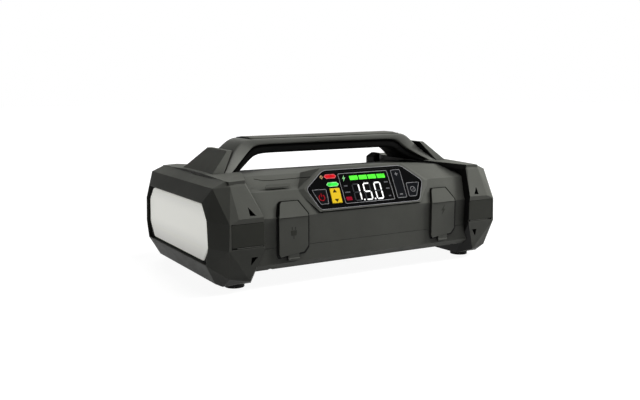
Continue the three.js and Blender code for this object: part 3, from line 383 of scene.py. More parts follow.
def handling_marks():
    """Faint smears and hairline rubs that change the gloss."""
    wires, given, out = new_effect("Handling marks", {"Scale": 22.0}, ("Mask", "Scratches"))
    place = wires.place()
    smear = wires.noise(place, given["Scale"], 6.0, Roughness=0.65, Distortion=1.5)
    drawn = {"Vector": place, "Scale": (6.0, 260.0, 90.0), "Rotation": (0.2, 0.5, 0.4)}
    hair = wires.noise(wires.add("ShaderNodeMapping", drawn).outputs[0], 3.0, 3.0)
    wires.feed(out, {"Mask": wires.spread(smear, 0.4, 0.7), "Scratches": wires.spread(hair, 0.66, 0.74)})
    return wires.tree


def painted_corner_shade():
    """Painted shade: darker where nearby surfaces close round a point, as ambient occlusion finds it in
    corners, creases and gaps.
    """
    wires, given, out = new_effect("Painted corner shade", {"Reach": 0.02}, ("Mask",))
    corner_shade = wires.add("ShaderNodeAmbientOcclusion", {"Distance": given["Reach"]}, samples=6)
    wires.feed(out, {"Mask": wires.spread(corner_shade.outputs["AO"], 0.9, 0.5)})
    return wires.tree


def painted_inward_shade():
    """Faces that look along the pack at its middle, as the inner faces of the end caps do: a mask for painted
    shade on faces turned from the light.
    """
    wires, given, out = new_effect("Painted inward shade", {"Turn": 0.4}, ("Mask",))
    place = wires.add("ShaderNodeSeparateXYZ", {"Vector": wires.place()}).outputs["X"]
    normal = wires.add("ShaderNodeNewGeometry").outputs["True Normal"]
    facing = wires.add("ShaderNodeSeparateXYZ", {"Vector": normal}).outputs["X"]
    inward = wires.maths("MULTIPLY", wires.maths("MULTIPLY", wires.maths("SIGN", place), facing), -1.0)
    full = wires.maths("ADD", given["Turn"], 0.2)
    wires.feed(out, {"Mask": wires.spread(inward, given["Turn"], full)})
    return wires.tree


def drawn_lines():
    """Fine lines left by drawing or brushing metal."""
    wires, given, out = new_effect("Drawn lines", {"Scale": 40.0}, ("Height",))
    stretch = wires.add("ShaderNodeMapping", {"Vector": wires.place(), "Scale": (1.0, 60.0, 60.0)})
    wires.feed(out, {"Height": wires.noise(stretch.outputs[0], given["Scale"], 4.0)})
    return wires.tree


EFFECTS = {
    "Moulded grain": moulded_grain,
    "Edge wear and highlight": edge_wear_and_highlight,
    "Handling marks": handling_marks,
    "Drawn lines": drawn_lines,
    "Painted corner shade": painted_corner_shade,
    "Painted inward shade": painted_inward_shade,
}


def effect(name):
    return bpy.data.node_groups.get(name) or EFFECTS[name]()


def new_finish(name):
    material = bpy.data.materials.new(name)
    material.use_nodes = True
    wires = Wiring(material.node_tree)
    shader = wires.add("ShaderNodeBsdfPrincipled")
    wires.add("ShaderNodeOutputMaterial", {"Surface": shader.outputs[0]})
    return material, wires, shader


def moulded(
    name, colour, roughness, grain=1800.0, depth=0.03, change=0.1, wear_and_highlight=0.25, specular=0.2, corner_shade=0.75,
    subsurface=0.0, shade_lip=False
):
    """Moulded plastic or rubber: its colour drifts, its skin is grained, its edges are rubbed paler with a
    painted highlight, and painted shade darkens its corners and, where asked, its faces turned towards the
    pack's middle.
    """
    material, wires, shader = new_finish(name)
    skin = wires.group("Moulded grain", scale=grain).outputs
    paled_edge = wires.group("Edge wear and highlight", amount=wear_and_highlight).outputs["Mask"]
    marks = wires.group("Handling marks").outputs["Mask"]
    drift = wires.mixed(skin["Tone"], shade(colour, 1 - change), shade(colour, 1 + change))
    # Paler edges: wear, and a painted highlight.
    body = wires.mixed(paled_edge, drift, shade(colour, 1.5, 0.02))
    # Painted shade: corners and gaps are darkened by the corner shade share.
    if corner_shade:
        body = wires.mixed(wires.group("Painted corner shade").outputs["Mask"], body, shade(colour, 1 - corner_shade))
    # Painted shade: faces turned towards the pack's middle are painted near black.
    if shade_lip:
        body = wires.mixed(wires.group("Painted inward shade").outputs["Mask"], body, shade(tint(12, 12, 11)))
    gloss = wires.spread(marks, 0.0, 1.0, roughness, roughness - 0.1)
    wires.feed(shader, {
        "Base Color": body,
        "Roughness": wires.maths("MULTIPLY_ADD", skin["Tone"], 0.06, gloss),
        "Normal": wires.bump(0.6, depth, skin["Height"]),
        "Specular IOR Level": specular,
        "Subsurface Weight": subsurface,
        "Subsurface Radius": MILKY,
    })
    return material


def printed(name, colour, change, roughness=0.4):
    """Ink on a panel or a key, and the figures that aren't lit."""
    return moulded(name, colour, roughness, change=change, wear_and_highlight=0.0, corner_shade=0.0)


def glossy(name, colour, roughness=0.12, coat=0.6):
    """A polished skin with faint smears and hairlines."""
    material, wires, shader = new_finish(name)
    marks = wires.group("Handling marks", scale=40.0).outputs
    smear = wires.spread(marks["Mask"], 0.0, 1.0, roughness, roughness + 0.08)
    wires.feed(shader, {
        "Base Color": wires.mixed(marks["Mask"], shade(colour), shade(colour, 1.25, 0.001)),
        "Roughness": wires.maths("MULTIPLY_ADD", marks["Scratches"], 0.08, smear),
        "Normal": wires.bump(0.05, 0.01, marks["Scratches"]),
        "Coat Weight": coat,
        "Coat Roughness": 0.06,
    })
    return material


def glowing(name, colour, strength, edge):
    """A lit mark behind the panel's glass, a little uneven as such lamps are."""
    material, wires, shader = new_finish(name)
    share = wires.spread(wires.noise(wires.place(), 260.0, 2.0), 0.35, 0.65)
    wires.feed(shader, {
        "Emission Color": wires.mixed(share, shade(colour, edge), shade(colour)),
        "Base Color": wires.mixed(share, shade(colour, 0.25), shade(colour, edge)),
        "Emission Strength": strength,
        "Roughness": 0.35,
    })
    return material


def metal(name, colour, roughness=0.3):
    """Plain metal with drawn lines and smears."""
    material, wires, shader = new_finish(name)
    lines = wires.group("Drawn lines").outputs["Height"]
    marks = wires.group("Handling marks", scale=50.0).outputs["Mask"]
    wires.feed(shader, {
        "Base Color": wires.mixed(lines, shade(colour, 0.8), shade(colour)),
        "Roughness": wires.spread(marks, 0.0, 1.0, roughness, roughness + 0.15),
        "Normal": wires.bump(0.2, 0.01, lines),
        "Metallic": 1.0,
    })
    return material


def frosted(name, colour):
    """The frosted window of the work light: fine upright flutes and a milky body, dimmer above and below; it
    glows with painted light that stands in for the light falling on it.
    """
    material, wires, shader = new_finish(name)
    parts = wires.add("ShaderNodeSeparateXYZ", {"Vector": wires.place()}).outputs
    skin = wires.group("Moulded grain", scale=1400.0).outputs
    away = wires.maths("ABSOLUTE", wires.maths("SUBTRACT", parts["Z"], GLOW_MIDDLE * MM))
    dimming = wires.spread(away, GLOW_EVEN * MM, GLOW_REACH * MM)
    body = wires.mixed(dimming, shade(colour), shade(colour, 0.64))
    flutes = wires.maths("SINE", wires.maths("MULTIPLY", parts["Y"], 2 * math.pi / (FLUTE_PITCH * MM)))
    height = wires.maths("MULTIPLY_ADD", skin["Height"], 0.5, flutes)
    wires.feed(shader, {
        "Base Color": wires.mixed(wires.spread(skin["Tone"], 0.0, 1.0, 0.0, 0.4), body, shade(colour, 0.93)),
        "Normal": wires.bump(0.25, 0.05, height),
        "Roughness": 0.38,
        "Subsurface Weight": 0.2,
        "Subsurface Radius": MILKY,
        "Coat Weight": 0.15,
        "Coat Roughness": 0.2,
        "Emission Color": body,
        # Painted light: this glow stands in for lamp light on the window.
        "Emission Strength": 0.62,
    })
    return material


def circuit_board(name, colour):
    """Solder mask over copper tracks."""
    material, wires, shader = new_finish(name)
    rows = {"Vector": wires.place(), "Scale": 120.0, "Mortar Size": 0.03}
    rows.update({"Color1": shade(colour), "Color2": shade(colour, 0.8), "Mortar": shade(colour, 1.8)})
    tracks = wires.add("ShaderNodeTexBrick", rows).outputs["Color"]
    marks = wires.group("Handling marks", scale=60.0).outputs["Mask"]
    wires.feed(shader, {"Base Color": tracks, "Roughness": wires.spread(marks, 0.0, 1.0, 0.3, 0.5)})
    return material


def look():
    return bpy.context.scene.jump_starter


FINISHES = {
    "shell": lambda: moulded("Housing plastic", look().shell_colour, 0.6, depth=look().grain_depth),
    "handle": lambda: moulded("Handle plastic", look().handle_colour, 0.55, depth=look().grain_depth),
    "grip": lambda: moulded("Grip plate", look().grip_colour, 0.58, depth=look().grain_depth),
    # The end caps get painted shade on their inner faces.
    "cap": lambda: moulded("End cap plastic", look().cap_colour, 0.6, depth=look().grain_depth, shade_lip=True),
    "port_rubber": lambda: moulded("Port cover rubber", look().cover_colour, 0.62, depth=look().grain_depth),
    "pad": lambda: moulded("Side pad rubber", look().pad_colour, 0.62, 1300.0, 0.05, specular=0.15),
    "soft_black": lambda: moulded(
        "Soft black rubber", look().soft_colour, 0.6, 1200.0, 0.05, wear_and_highlight=0.15, specular=0.15
    ),
    # Black rubber for the real dark parts, also used for strips of painted shade.
    "seal_and_shade": lambda: moulded("Black seal", tint(10, 10, 9), 0.7, 900.0, wear_and_highlight=0.0),
    "dark_key": lambda: moulded("Dark key", look().key_colour, 0.4, 2600.0, 0.01, wear_and_highlight=0.1),
    "yellow_key": lambda: moulded("Yellow key", look().unit_key_colour, 0.38, 2600.0, 0.01, 0.04, wear_and_highlight=0.0),
    "white_plastic": lambda: moulded("White plastic", tint(228, 228, 222), 0.45, change=0.03),
    "nylon": lambda: moulded("Natural nylon", tint(222, 218, 202), 0.5, change=0.04, subsurface=0.05),
    "socket_blue": lambda: moulded("Blue socket", tint(38, 84, 168), 0.35, change=0.06),
    "lens": lambda: frosted("Frosted window", look().lens_colour),
    "board": lambda: circuit_board("Circuit board", tint(20, 84, 52)),
    "steel": lambda: metal("Steel", tint(190, 190, 192)),
    "aluminium": lambda: metal("Cast aluminium", tint(180, 181, 183), 0.42),
    "gloss_black": lambda: glossy("Panel glass", tint(9, 9, 10)),
    "cell_wrap": lambda: glossy("Cell film", tint(40, 92, 150), 0.25, 0.2),
    "print_grey": lambda: printed("Grey print", tint(150, 150, 152), 0.12),
    "print_dim": lambda: printed("Dim print", tint(96, 96, 100), 0.15),
    "print_dark": lambda: printed("Dark print", tint(62, 52, 18), 0.1, 0.5),
    "print_amber": lambda: printed("Amber print", tint(196, 164, 122), 0.12),
    "ghost": lambda: printed("Unlit figure", tint(58, 60, 62), 0.15, 0.35),
    "lit_green": lambda: glowing("Lit green", tint(84, 236, 58), 0.85, 0.9),
    "lit_bolt": lambda: glowing("Lit pale green", tint(150, 225, 150), 0.7, 0.8),
    "lit_white": lambda: glowing("Lit white", tint(250, 250, 250), 0.9, 0.92),
    "lit_mint": lambda: glowing("Green lamp", tint(48, 224, 66), 0.8, 0.85),
    "lit_red": lambda: glowing("Red lamp", tint(196, 18, 28), 0.8, 0.85),
    "lit_rose": lambda: glowing("Red lamp edge", tint(214, 96, 100), 0.6, 0.8),
    "lit_power": lambda: glowing("Power mark", tint(178, 16, 28), 0.7, 0.6),
    "lit_wine": lambda: glowing("Warning lamp", tint(150, 16, 40), 0.7, 0.6),
    "lit_leaf": lambda: glowing("Green lamp edge", tint(150, 232, 150), 0.6, 0.85),
}
MADE = {}


def finish(name):
    if name not in MADE:
        MADE[name] = FINISHES[name]()
    return MADE[name]


# ---- Sizes and colours that a user would change ----


def colour_choice(name, what, default):
    return bpy.props.FloatVectorProperty(
        name=name, description=what, default=default, size=3, min=0.0, max=1.0, subtype="COLOR"
    )


def length_choice(name, what, default, least=0.1, most=2.0):
    return bpy.props.FloatProperty(name=name, description=what, default=default, min=least, max=most)


class JumpStarterLook(bpy.types.PropertyGroup):
    shell_colour: colour_choice("Shell", "Colour of the case shells", tint(92, 93, 88))
    handle_colour: colour_choice("Handle", "Colour of the handle's frame and plate", tint(112, 113, 108))
    grip_colour: colour_choice("Grip plate", "Colour of the plate in the handle's top", tint(92, 92, 87))
    cap_colour: colour_choice("End caps", "Colour of the two end caps", tint(90, 91, 86))
    pad_colour: colour_choice("Side pads", "Colour of the pads let into the end caps", tint(66, 67, 62))
    cover_colour: colour_choice("Port covers", "Colour of the rubber port covers", tint(92, 93, 88))
    soft_colour: colour_choice("Soft parts", "Colour of the liner, clip and feet", tint(8, 8, 7))
    key_colour: colour_choice("Dark keys", "Colour of the panel's dark keys", tint(19, 20, 23))
    unit_key_colour: colour_choice("Unit key", "Colour of the unit key", tint(246, 208, 44))
    lens_colour: colour_choice("Light window", "Colour of the frosted window", tint(222, 222, 215))
    shell_edge: length_choice("Shell edges", "Rounding of the shells' edges in millimetres", 0.9)
    cap_edge: length_choice("Cap edges", "Rounding of the end caps' edges in millimetres", 1.2)
    grain_depth: length_choice("Grain depth", "Depth of the moulded grain in millimetres", 0.03, 0.0, 0.2)
    key_light: bpy.props.FloatProperty(
        name="Key light",
        description="Power of the key lamp, which the other lamps follow",
        default=26.0,
        min=0.0,
        unit="POWER",
    )
    surround_light: bpy.props.FloatProperty(
        name="Surround", description="Strength of the light from all round", default=0.03, min=0.0
    )


# ---- The pieces ----


class PACK_OT_shells(bpy.types.Operator):
    """Upper and lower case shells with softened edges"""

    bl_idname = "pack.shells"
    bl_label = "Case shells"

    def execute(self, context):
        for name in ("upper_shell", "lower_shell"):
            dress(name, "shell", look().shell_edge)
        deck_edge_shade()
        deck_plate()
        return {"FINISHED"}


def deck_edge_shade():
    """A black strip of painted shade along the foot of the flat deck, in front, where the deck's raised edge
    casts its shadow.
    """
    line = [(-114.5, 37.8), (-106, 35.7), (-98, 35.3), (-47, 36.2)]
    wide = 0.5
    dark_strip = plate("deck_edge_shade_strip", line + [(u, v + wide) for u, v in line[::-1]], -0.15, 0.05, panel_plane())
    give(dark_strip, "seal_and_shade")


def deck_plate():
    """A bare raised plate on the front slope."""
    outline = [(-106, 28.6), (-81, 28.6), (-79, 31.8), (-104, 31.8)]
    raised = plate("deck_plate", outline, -0.3, 0.3, panel_plane(), corner=0.8, edge=0.2)
    give(raised, "shell")


class PACK_OT_caps(bpy.types.Operator):
    """The two end caps and the dark pads let into their sides"""

    bl_idname = "pack.caps"
    bl_label = "End caps"

    def execute(self, context):
        for name in ("left_end_cap", "right_end_cap"):
            dress(name, "cap", look().cap_edge)
        for side, turn in (("left", -1), ("right", 1)):
            self.pad(side + "_front", front_plane(-PAD_FLOOR), turn)
            self.pad(side + "_rear", rear_plane(PAD_FLOOR), -turn)
        return {"FINISHED"}

    def pad(self, where, face, turn):
        """The dark pad in the cap's side, and the sill that it stands on."""
        pad = box_outline(turn * 130.5, 51.15, 30.6, 19.9)
        give(plate("side_pad_" + where, pad, 0.0, PAD_DEEP, face, corner=1.5, edge=0.4), "pad")
        sill = box_outline(turn * 129.0, 40.5, 24.0, 1.2)
        give(plate("pad_sill_" + where, sill, 0.0, PAD_DEEP, face, edge=0.5), "cap")


# The handle from its middle to its foot: distance out, height, and half its depth.
BAR_TOP = [
    (0, 125.8, 17), (60, 125.8, 17), (88, 125.8, 17), (95, 124.2, 17), (100.5, 120.8, 17.5),
    (110.5, 110.5, 21), (125, 96, 36),
]
BAR_UNDER = [
    (0, 119.8, 17), (50, 119.8, 17), (75.6, 119.8, 17), (84, 118.2, 17), (88.5, 114.8, 17.5),
    (97, 108, 21), (116, 96, 36),
]
LINER_TOP = [
    (0, 119.5, 15.7), (50, 119.5, 15.7), (75.4, 119.5, 15.7), (83.8, 117.9, 15.7), (88.2, 114.5, 16.2),
    (96.7, 107.7, 19.5), (115.6, 95.9, 34),
]
LINER_UNDER = [
    (0, 111.4, 15.5), (50, 111.4, 15.5), (74, 111.4, 15.5), (83, 109.2, 15.5), (89, 104.6, 16),
    (94.4, 101.0, 19), (108.8, 95.9, 33.5),
]


def eased(path, steps):
    """A smooth run of points that keeps to a path's legs and rounds its corners."""
    points = [Vector(p) for p in path]
    run = [points[0]]
    for before, here, after in zip(points, points[1:], points[2:]):
        start, end = (before + here) / 2, (here + after) / 2
        for i in range(steps):
            t = i / steps
            run.append(start * (1 - t) ** 2 + here * 2 * t * (1 - t) + end * t * t)
    return [*run, (points[-2] + points[-1]) / 2, points[-1]]


def rounded_section(depth, high, radius, corner=4):
    """A bar's section round its middle, as (across, up), with rounded corners."""
    loop = []
    for sx, sz, start in ((1, 1, 0), (-1, 1, 90), (-1, -1, 180), (1, -1, 270)):
        u, v = sx * (depth - radius), sz * (high / 2 - radius)
        for i in range(corner + 1):
            a = math.radians(start + 90 * i / corner)
            loop.append((u + radius * math.cos(a), v + radius * math.sin(a)))
    return loop


def swept_bar(name, top, under, radius):
    """A bar drawn along two curves, its top and its underside, from foot to foot."""
    steps = 6
    upper, lower = eased(top, steps), eased(under, steps)
    stations = list(zip(upper, lower))
    mirrored = [(Vector((-a.x, a.y, a.z)), Vector((-b.x, b.y, b.z))) for a, b in stations[1:]]
    stations = mirrored[::-1] + stations
    sides = len(rounded_section(1, 1, 0.1))
    clear_selection()
    bpy.ops.mesh.primitive_grid_add(x_subdivisions=sides, y_subdivisions=len(stations) - 1, size=1.0)
    piece = bpy.context.object
    piece.name = piece.data.name = name
    for row, (high, low) in enumerate(stations):
        span = Vector((high.x - low.x, high.y - low.y))
        thick = span.length
        loop = rounded_section((high.z + low.z) / 2, thick, min(radius, thick / 2 - 0.2))
        for i in range(sides + 1):
            across, up = loop[i % sides]
            share = up / thick + 0.5
            x = low.x + span.x * share
            z = low.y + span.y * share
            piece.data.vertices[row * (sides + 1) + i].co = (x * MM, across * MM, z * MM)
    edit(piece)
    bpy.ops.mesh.remove_doubles(threshold=0.001 * MM)
    bpy.ops.mesh.select_all(action="DESELECT")
    bpy.ops.mesh.select_non_manifold()
    bpy.ops.mesh.edge_face_add()
    bpy.ops.mesh.select_all(action="SELECT")
    bpy.ops.mesh.normals_make_consistent(inside=False)
    leave()
    take(piece)
    bpy.ops.object.shade_smooth_by_angle(angle=SMOOTH)
    return piece


class PACK_OT_handle(bpy.types.Operator):
    """The handle's frame, its soft liner and the plate in its top"""

    bl_idname = "pack.handle"
    bl_label = "Handle"

    def execute(self, context):
        rows = (
            ("handle_frame", "handle", BAR_TOP, BAR_UNDER, 2.2),
            ("handle_liner", "soft_black", LINER_TOP, LINER_UNDER, 2.8),
        )
        for node, slot, top, under, radius in rows:
            bar = swept_bar(node + "_swept", top, under, radius)
            give(bar, slot)
            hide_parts(node)
        dress("handle_grip_plate", "grip", 0.5)
        dark_strip = ring("grip_plate_seam", box_outline(0, 0, 175.2, 32), 1.2, 125.0, 126.05, Matrix(), corner=0.6)
        give(dark_strip, "seal_and_shade")
        dress("hose_clip", "seal_and_shade", 1.4, segments=4)
        return {"FINISHED"}


LENS_FRONT = -154.5
LENS_MIDDLE = 50.0
LENS_SIDE = [(74.4, 23.7), (80.1, 40.1), (78.2, 62.8), (68.3, 76.6)]
PANE_SIDE = [(65.0, 23.7), (76.5, 38.5), (75.5, 63.5), (63.5, 76.6)]


def pulled_in(side, gap):
    """A whole outline from its right half, drawn in by a gap."""
    outline = side + [(-u, v) for u, v in side[::-1]]
    wide = 1 - gap / max(u for u, _ in outline)
    high = 1 - gap / (max(v for _, v in outline) - LENS_MIDDLE)
    return [(u * wide, LENS_MIDDLE + (v - LENS_MIDDLE) * high) for u, v in outline]


class PACK_OT_light(bpy.types.Operator):
    """The work light: its frosted window, the tray and the lamps behind it"""

    bl_idname = "pack.light"
    bl_label = "Work light"

    def execute(self, context):
        dress("light_lens", "lens", 1.6, segments=4)
        face = left_plane(LENS_FRONT)
        # A black ring of painted shade round the window, where its recess lies in shadow.
        recess_shade = plate("light_recess_shade", pulled_in(LENS_SIDE, 0.4), 0.05, 1.9, face, corner=1.5, edge=0.4)
        give(recess_shade, "seal_and_shade")
        pane = plate("light_pane", pulled_in(PANE_SIDE, 1.4), 0.1, 2.9, face, corner=2.5, edge=1.0)
        give(pane, "lens")
        finish_node("light_tray", "white_plastic")
        finish_node("led_board", "white_plastic")
        return {"FINISHED"}


def pointed_bar(wide, high, u, v):
    """A long bar with pointed ends."""
    reach, half = wide / 2, high / 2
    return [(u - reach, v), (u - reach + half, v - half), (u + reach - half, v - half), (u + reach, v),
            (u + reach - half, v + half), (u - reach + half, v + half)]


BORDER = [(-57.6, 2.7), (55.4, 2.7), (66.2, 23.5), (45.2, 41.4), (-44.6, 41.4), (-66.8, 24)]  # the glass rim
INK = (OVERLAY_TOP - 0.1, OVERLAY_TOP + PRINT)  # from where to where a print on the glass reaches


class PACK_OT_panel(bpy.types.Operator):
    """The glossy control panel with its trim line and status lamps"""

    bl_idname = "pack.panel"
    bl_label = "Control panel"

    def execute(self, context):
        slope = panel_plane()
        finish_node("panel_overlay", "gloss_black")
        rounding = {"corner": 3.8, "edge": 0.1}
        border = ring("panel_border", BORDER, 2.2, OVERLAY_TOP - 0.05, RIM_TOP + 0.1, slope, **rounding)
        give(border, "gloss_black")
        trim = ring("panel_trim", BORDER, 0.6, RIM_TOP, RIM_TOP + 0.25, slope, **rounding)
        give(trim, "print_grey")
        lamps = (
            ("red_lamp", "lit_rose", "lit_red", -37.6, 35.0),
            ("green_lamp", "lit_leaf", "lit_mint", -37.2, 26.9),
        )
        for name, edge, core, u, v in lamps:
            around = ring(name + "_edge", pointed_bar(13.6, 4.4, u, v), 0.7, *INK, slope)
            give(around, edge)
            give(plate(name, pointed_bar(11.8, 2.9, u, v), *INK, slope), core)
        diamond = [(-45.1, 34.8), (-47.0, 36.9), (-48.9, 34.8), (-47.0, 32.7)]
        mark = ring("pointer_mark", diamond, 0.75, *INK, slope)
        give(mark, "print_amber")
        return {"FINISHED"}


# A figure's seven bars are called a to f, clockwise from the top, and g in the middle.
SEGMENTS = {"1": "bc", "5": "acdfg", "0": "abcdef", "8": "abcdefg"}
FIGURES = (("1", -13.2), ("5", -0.9), ("0", 11.4))  # what is shown, and each figure's middle
FIGURE_WIDE = 8.2
FIGURE_HIGH = 17.8
FIGURE_MIDDLE = 17.2
STROKE = 1.4
STROKE_GAP = 0.25
LEAN = 0.03  # how far a figure leans over for its height
CHARGE_BARS = (-12.4, -2.0, 8.4, 18.8)


def segment_outline(which, u, v):
    """One bar of a seven-segment figure, about the figure's middle."""
    half_w, half_h, half = FIGURE_WIDE / 2, FIGURE_HIGH / 2, STROKE / 2
    flat_bars = {"a": half_h - half, "g": 0.0, "d": half - half_h}
    upright_bars = {"f": (-1, 1), "b": (1, 1), "e": (-1, -1), "c": (1, -1)}
    if which in flat_bars:
        points = pointed_bar(2 * (half_w - half - STROKE_GAP), STROKE, 0.0, flat_bars[which])
    else:
        side, up = upright_bars[which]
        x = side * (half_w - half)
        low, top = sorted((up * STROKE_GAP, up * (half_h - half - STROKE_GAP)))
        points = [(x, low), (x + half, low + half), (x + half, top - half), (x, top),
                  (x - half, top - half), (x - half, low + half)]
    return [(u + x + LEAN * y, v + y) for x, y in points]


class PACK_OT_display(bpy.types.Operator):
    """The display: charge bars, figures, a bolt and its outline"""

    bl_idname = "pack.display"
    bl_label = "Display"

    def execute(self, context):
        slope = panel_plane()
        window = [(-29.0, 6.7), (27.4, 6.7), (27.4, 37.2), (-29.0, 37.2)]
        line = ring("display_outline", window, 0.5, *INK, slope, corner=1.6)
        give(line, "print_grey")
        bars = [plate("bar", box_outline(u, 31.9, 9.2, 4.3), *INK, slope, corner=0.35) for u in CHARGE_BARS]
        give(join("charge_bars", bars), "lit_green")
        bolt = [(-22.4, 35.2), (-25.4, 31.6), (-23.7, 31.6), (-24.9, 28.9), (-21.6, 32.7), (-23.3, 32.7)]
        give(plate("bolt_mark", bolt[::-1], *INK, slope), "lit_bolt")
        lit, unlit = [], []
        for figure, u in FIGURES:
            for which in SEGMENTS["8"]:
                bar = plate("segment", segment_outline(which, u, FIGURE_MIDDLE), *INK, slope)
                (lit if which in SEGMENTS[figure] else unlit).append(bar)
        for u in (-7.1, 5.2):
            lit.append(plate("point", box_outline(u, 9.2, 1.5, 1.5), *INK, slope, corner=0.4))
        give(join("figures_lit", lit), "lit_white")
        give(join("figures_unlit", unlit), "ghost")
        self.side_marks(slope)
        return {"FINISHED"}

    def side_marks(self, slope):
        """Plain dashes where a display shows its units."""
        left = [(-23.6, 24.3, 4.0), (-23.4, 17.9, 5.6)]
        right = [(22.6, 25.2, 4.4), (22.6, 18.6, 4.0), (22.6, 10.8, 2.8)]
        boxes = [box_outline(u, v, wide, 1.3) for u, v, wide in left + right]
        grey = [plate("dash", box, *INK, slope, corner=0.3) for box in boxes]
        give(join("unit_dashes", grey), "print_dim")
        red = plate("warning_dash", box_outline(-23.6, 11.6, 6.2, 3.6), *INK, slope, corner=0.6)
        give(red, "lit_wine")


# The outlines printed on the dark keys.
POWER_KEY = [(-55.6, 8), (-46.8, 8), (-45.8, 22.7), (-61.2, 22.7)]
ROCKER_KEY = [(30.4, 7.5), (41.6, 7.5), (42.8, 37), (31.4, 37)]
PUMP_KEY = [(44.4, 8), (53.4, 8), (61.4, 22.4), (45.4, 22.4)]


class PACK_OT_keys(bpy.types.Operator):
    """The panel's keys with their outlines and plain signs"""

    bl_idname = "pack.keys"
    bl_label = "Keys"

    def execute(self, context):
        slope = panel_plane()
        ink = (KEY_TOP - 0.1, KEY_TOP + PRINT)
        rows = (("power_key", POWER_KEY), ("level_rocker", ROCKER_KEY), ("pump_key", PUMP_KEY))
        for name, outline in rows:
            dress(name, "dark_key", 0.3, segments=2)
            line = ring(name + "_outline", outline, 0.45, *ink, slope, corner=1.5)
            give(line, "print_grey", name)
        dress("unit_key", "yellow_key", 0.5, segments=3)
        sweep = plate("sweep", arc_band(2.9, 0.75, 125, 415, -52.6, 14.6), *ink, slope)
        stem = plate("stem", box_outline(-52.6, 17.1, 0.75, 3.2), *ink, slope)
        give(join("power_sign", [sweep, stem]), "lit_power", "power_key")
        arrows = []
        for v, up in ((18.6, 1), (12.2, -1)):
            arrow = [(-39.6, v), (-35.2, v), (-37.4 + 0.1 * up, v + 3.4 * up)]
            arrows.append(plate("arrow", arrow[::up], *ink, slope, corner=0.3))
        give(join("unit_sign", arrows), "print_dark", "unit_key")
        strokes = ((36.9, 32.4, 3.6, 0.8), (36.9, 32.4, 0.8, 3.6), (35.9, 11.2, 3.4, 0.8))
        signs = [plate("stroke", box_outline(*stroke), *ink, slope) for stroke in strokes]
        give(join("level_signs", signs), "print_grey", "level_rocker")
        dial = [
            ring("dial", circle(2.9, 28, 51.4, 15.4), 0.5, *ink, slope),
            plate("needle", [(50.9, 14.9), (51.4, 14.4), (53.2, 17.3)], *ink, slope),
        ]
        give(join("pump_sign", dial), "print_grey", "pump_key")
        return {"FINISHED"}


class PACK_OT_port_covers(bpy.types.Operator):
    """The two rubber port covers, the black strips of painted shade round them, and their plain port signs"""

    bl_idname = "pack.port_covers"
    bl_label = "Port covers"

    def execute(self, context):
        # A cover, its middle, and how far the black strip of painted shade round it reaches to the left and
        # to the right.
        rows = (("left_port_cover", -83.9, 16.1, 16.9), ("right_port_cover", 85.6, 14.4, 17.6))
        for name, x, left, right in rows:
            dress(name, "port_rubber", 0.8)
            self.seal_and_shade(name, x, left, right)
        self.plug_sign()
        self.bolt_sign()
        finish_node("usb_port_block", "gloss_black")
        finish_node("dc_port_block", "gloss_black")
        return {"FINISHED"}

    def seal_and_shade(self, name, x, left, right):
        """A black strip on the shell round the edge that the cover closes on: painted shade for the shadowed
        gap there.
        """
        upright = [
            (-14.2, 25.2), (right - 4.0, 28.0), (right, 33.0), (right, 61.8), (-left, 61.8), (-left, 28.8)
        ]
        shade_lip = ring(name + "_seal", upright, 4.5, *SHADE_STRIP_SPAN, front_plane(-HALF_BODY, x), corner=1.0)
        give(shade_lip, "seal_and_shade")
        lean = [
            (-left, 0.1), (right, 0.1), (right, 2.0), (right - 6.9, 15.1), (-9.6, 15.1), (3.8 - left, 12.6),
            (-left, 1.4),
        ]
        shade_lip = plate(name + "_seal_top", lean, *SHADE_STRIP_SPAN, panel_plane(x=x), corner=0.8)
        give(shade_lip, "seal_and_shade")

    def plug_sign(self):
        """A plug with two prongs, sunk into the left cover's face."""
        face = front_plane(COVER_FRONT, -84.0, 48.5)
        body = [(-2.6, -3.2), (2.6, -3.2), (3.2, 1.4), (-3.2, 1.4)]
        parts = [
            plate("body", body, *SUNK, face, corner=0.8),
            plate("prong", box_outline(-1.6, 3.2, 0.9, 2.6), *SUNK, face),
            plate("prong", box_outline(1.6, 3.2, 0.9, 2.6), *SUNK, face),
            plate("lead", box_outline(0.0, -4.8, 0.8, 2.6), *SUNK, face),
        ]
        give(join("plug_sign", parts), "pad", "left_port_cover")

    def bolt_sign(self):
        """A bolt for the charge socket, sunk into the right cover's face."""
        face = front_plane(COVER_FRONT, 85.6, 54.0)
        bolt = [(1.6, 4.8), (-2.6, -0.6), (-0.4, -0.6), (-1.6, -4.8), (2.6, 0.8), (0.4, 0.8)]
        sign = plate("bolt_sign", bolt[::-1], *SUNK, face)
        give(sign, "pad", "right_port_cover")


class PACK_OT_output_end(bpy.types.Operator):
    """The right end: output panel, jumper socket with its flap, and air outlet"""

    bl_idname = "pack.output_end"
    bl_label = "Output end"

    def execute(self, context):
        dress("output_panel", "shell", 0.5)
        finish_node("jumper_socket", "socket_blue")
        dress("jumper_socket_flap", "port_rubber", 0.6)
        finish_node("air_outlet", "steel")
        return {"FINISHED"}


class PACK_OT_underside(bpy.types.Operator):
    """Feet and screws"""

    bl_idname = "pack.underside"
    bl_label = "Underside"

    def execute(self, context):
        for side in ("left", "right"):
            for end in ("front", "rear"):
                dress(f"foot_{side}_{end}", "soft_black", 1.0)
                finish_node(f"case_screw_{side}_{end}", "steel")
                finish_node(f"cap_screw_{side}_{end}", "steel")
        return {"FINISHED"}


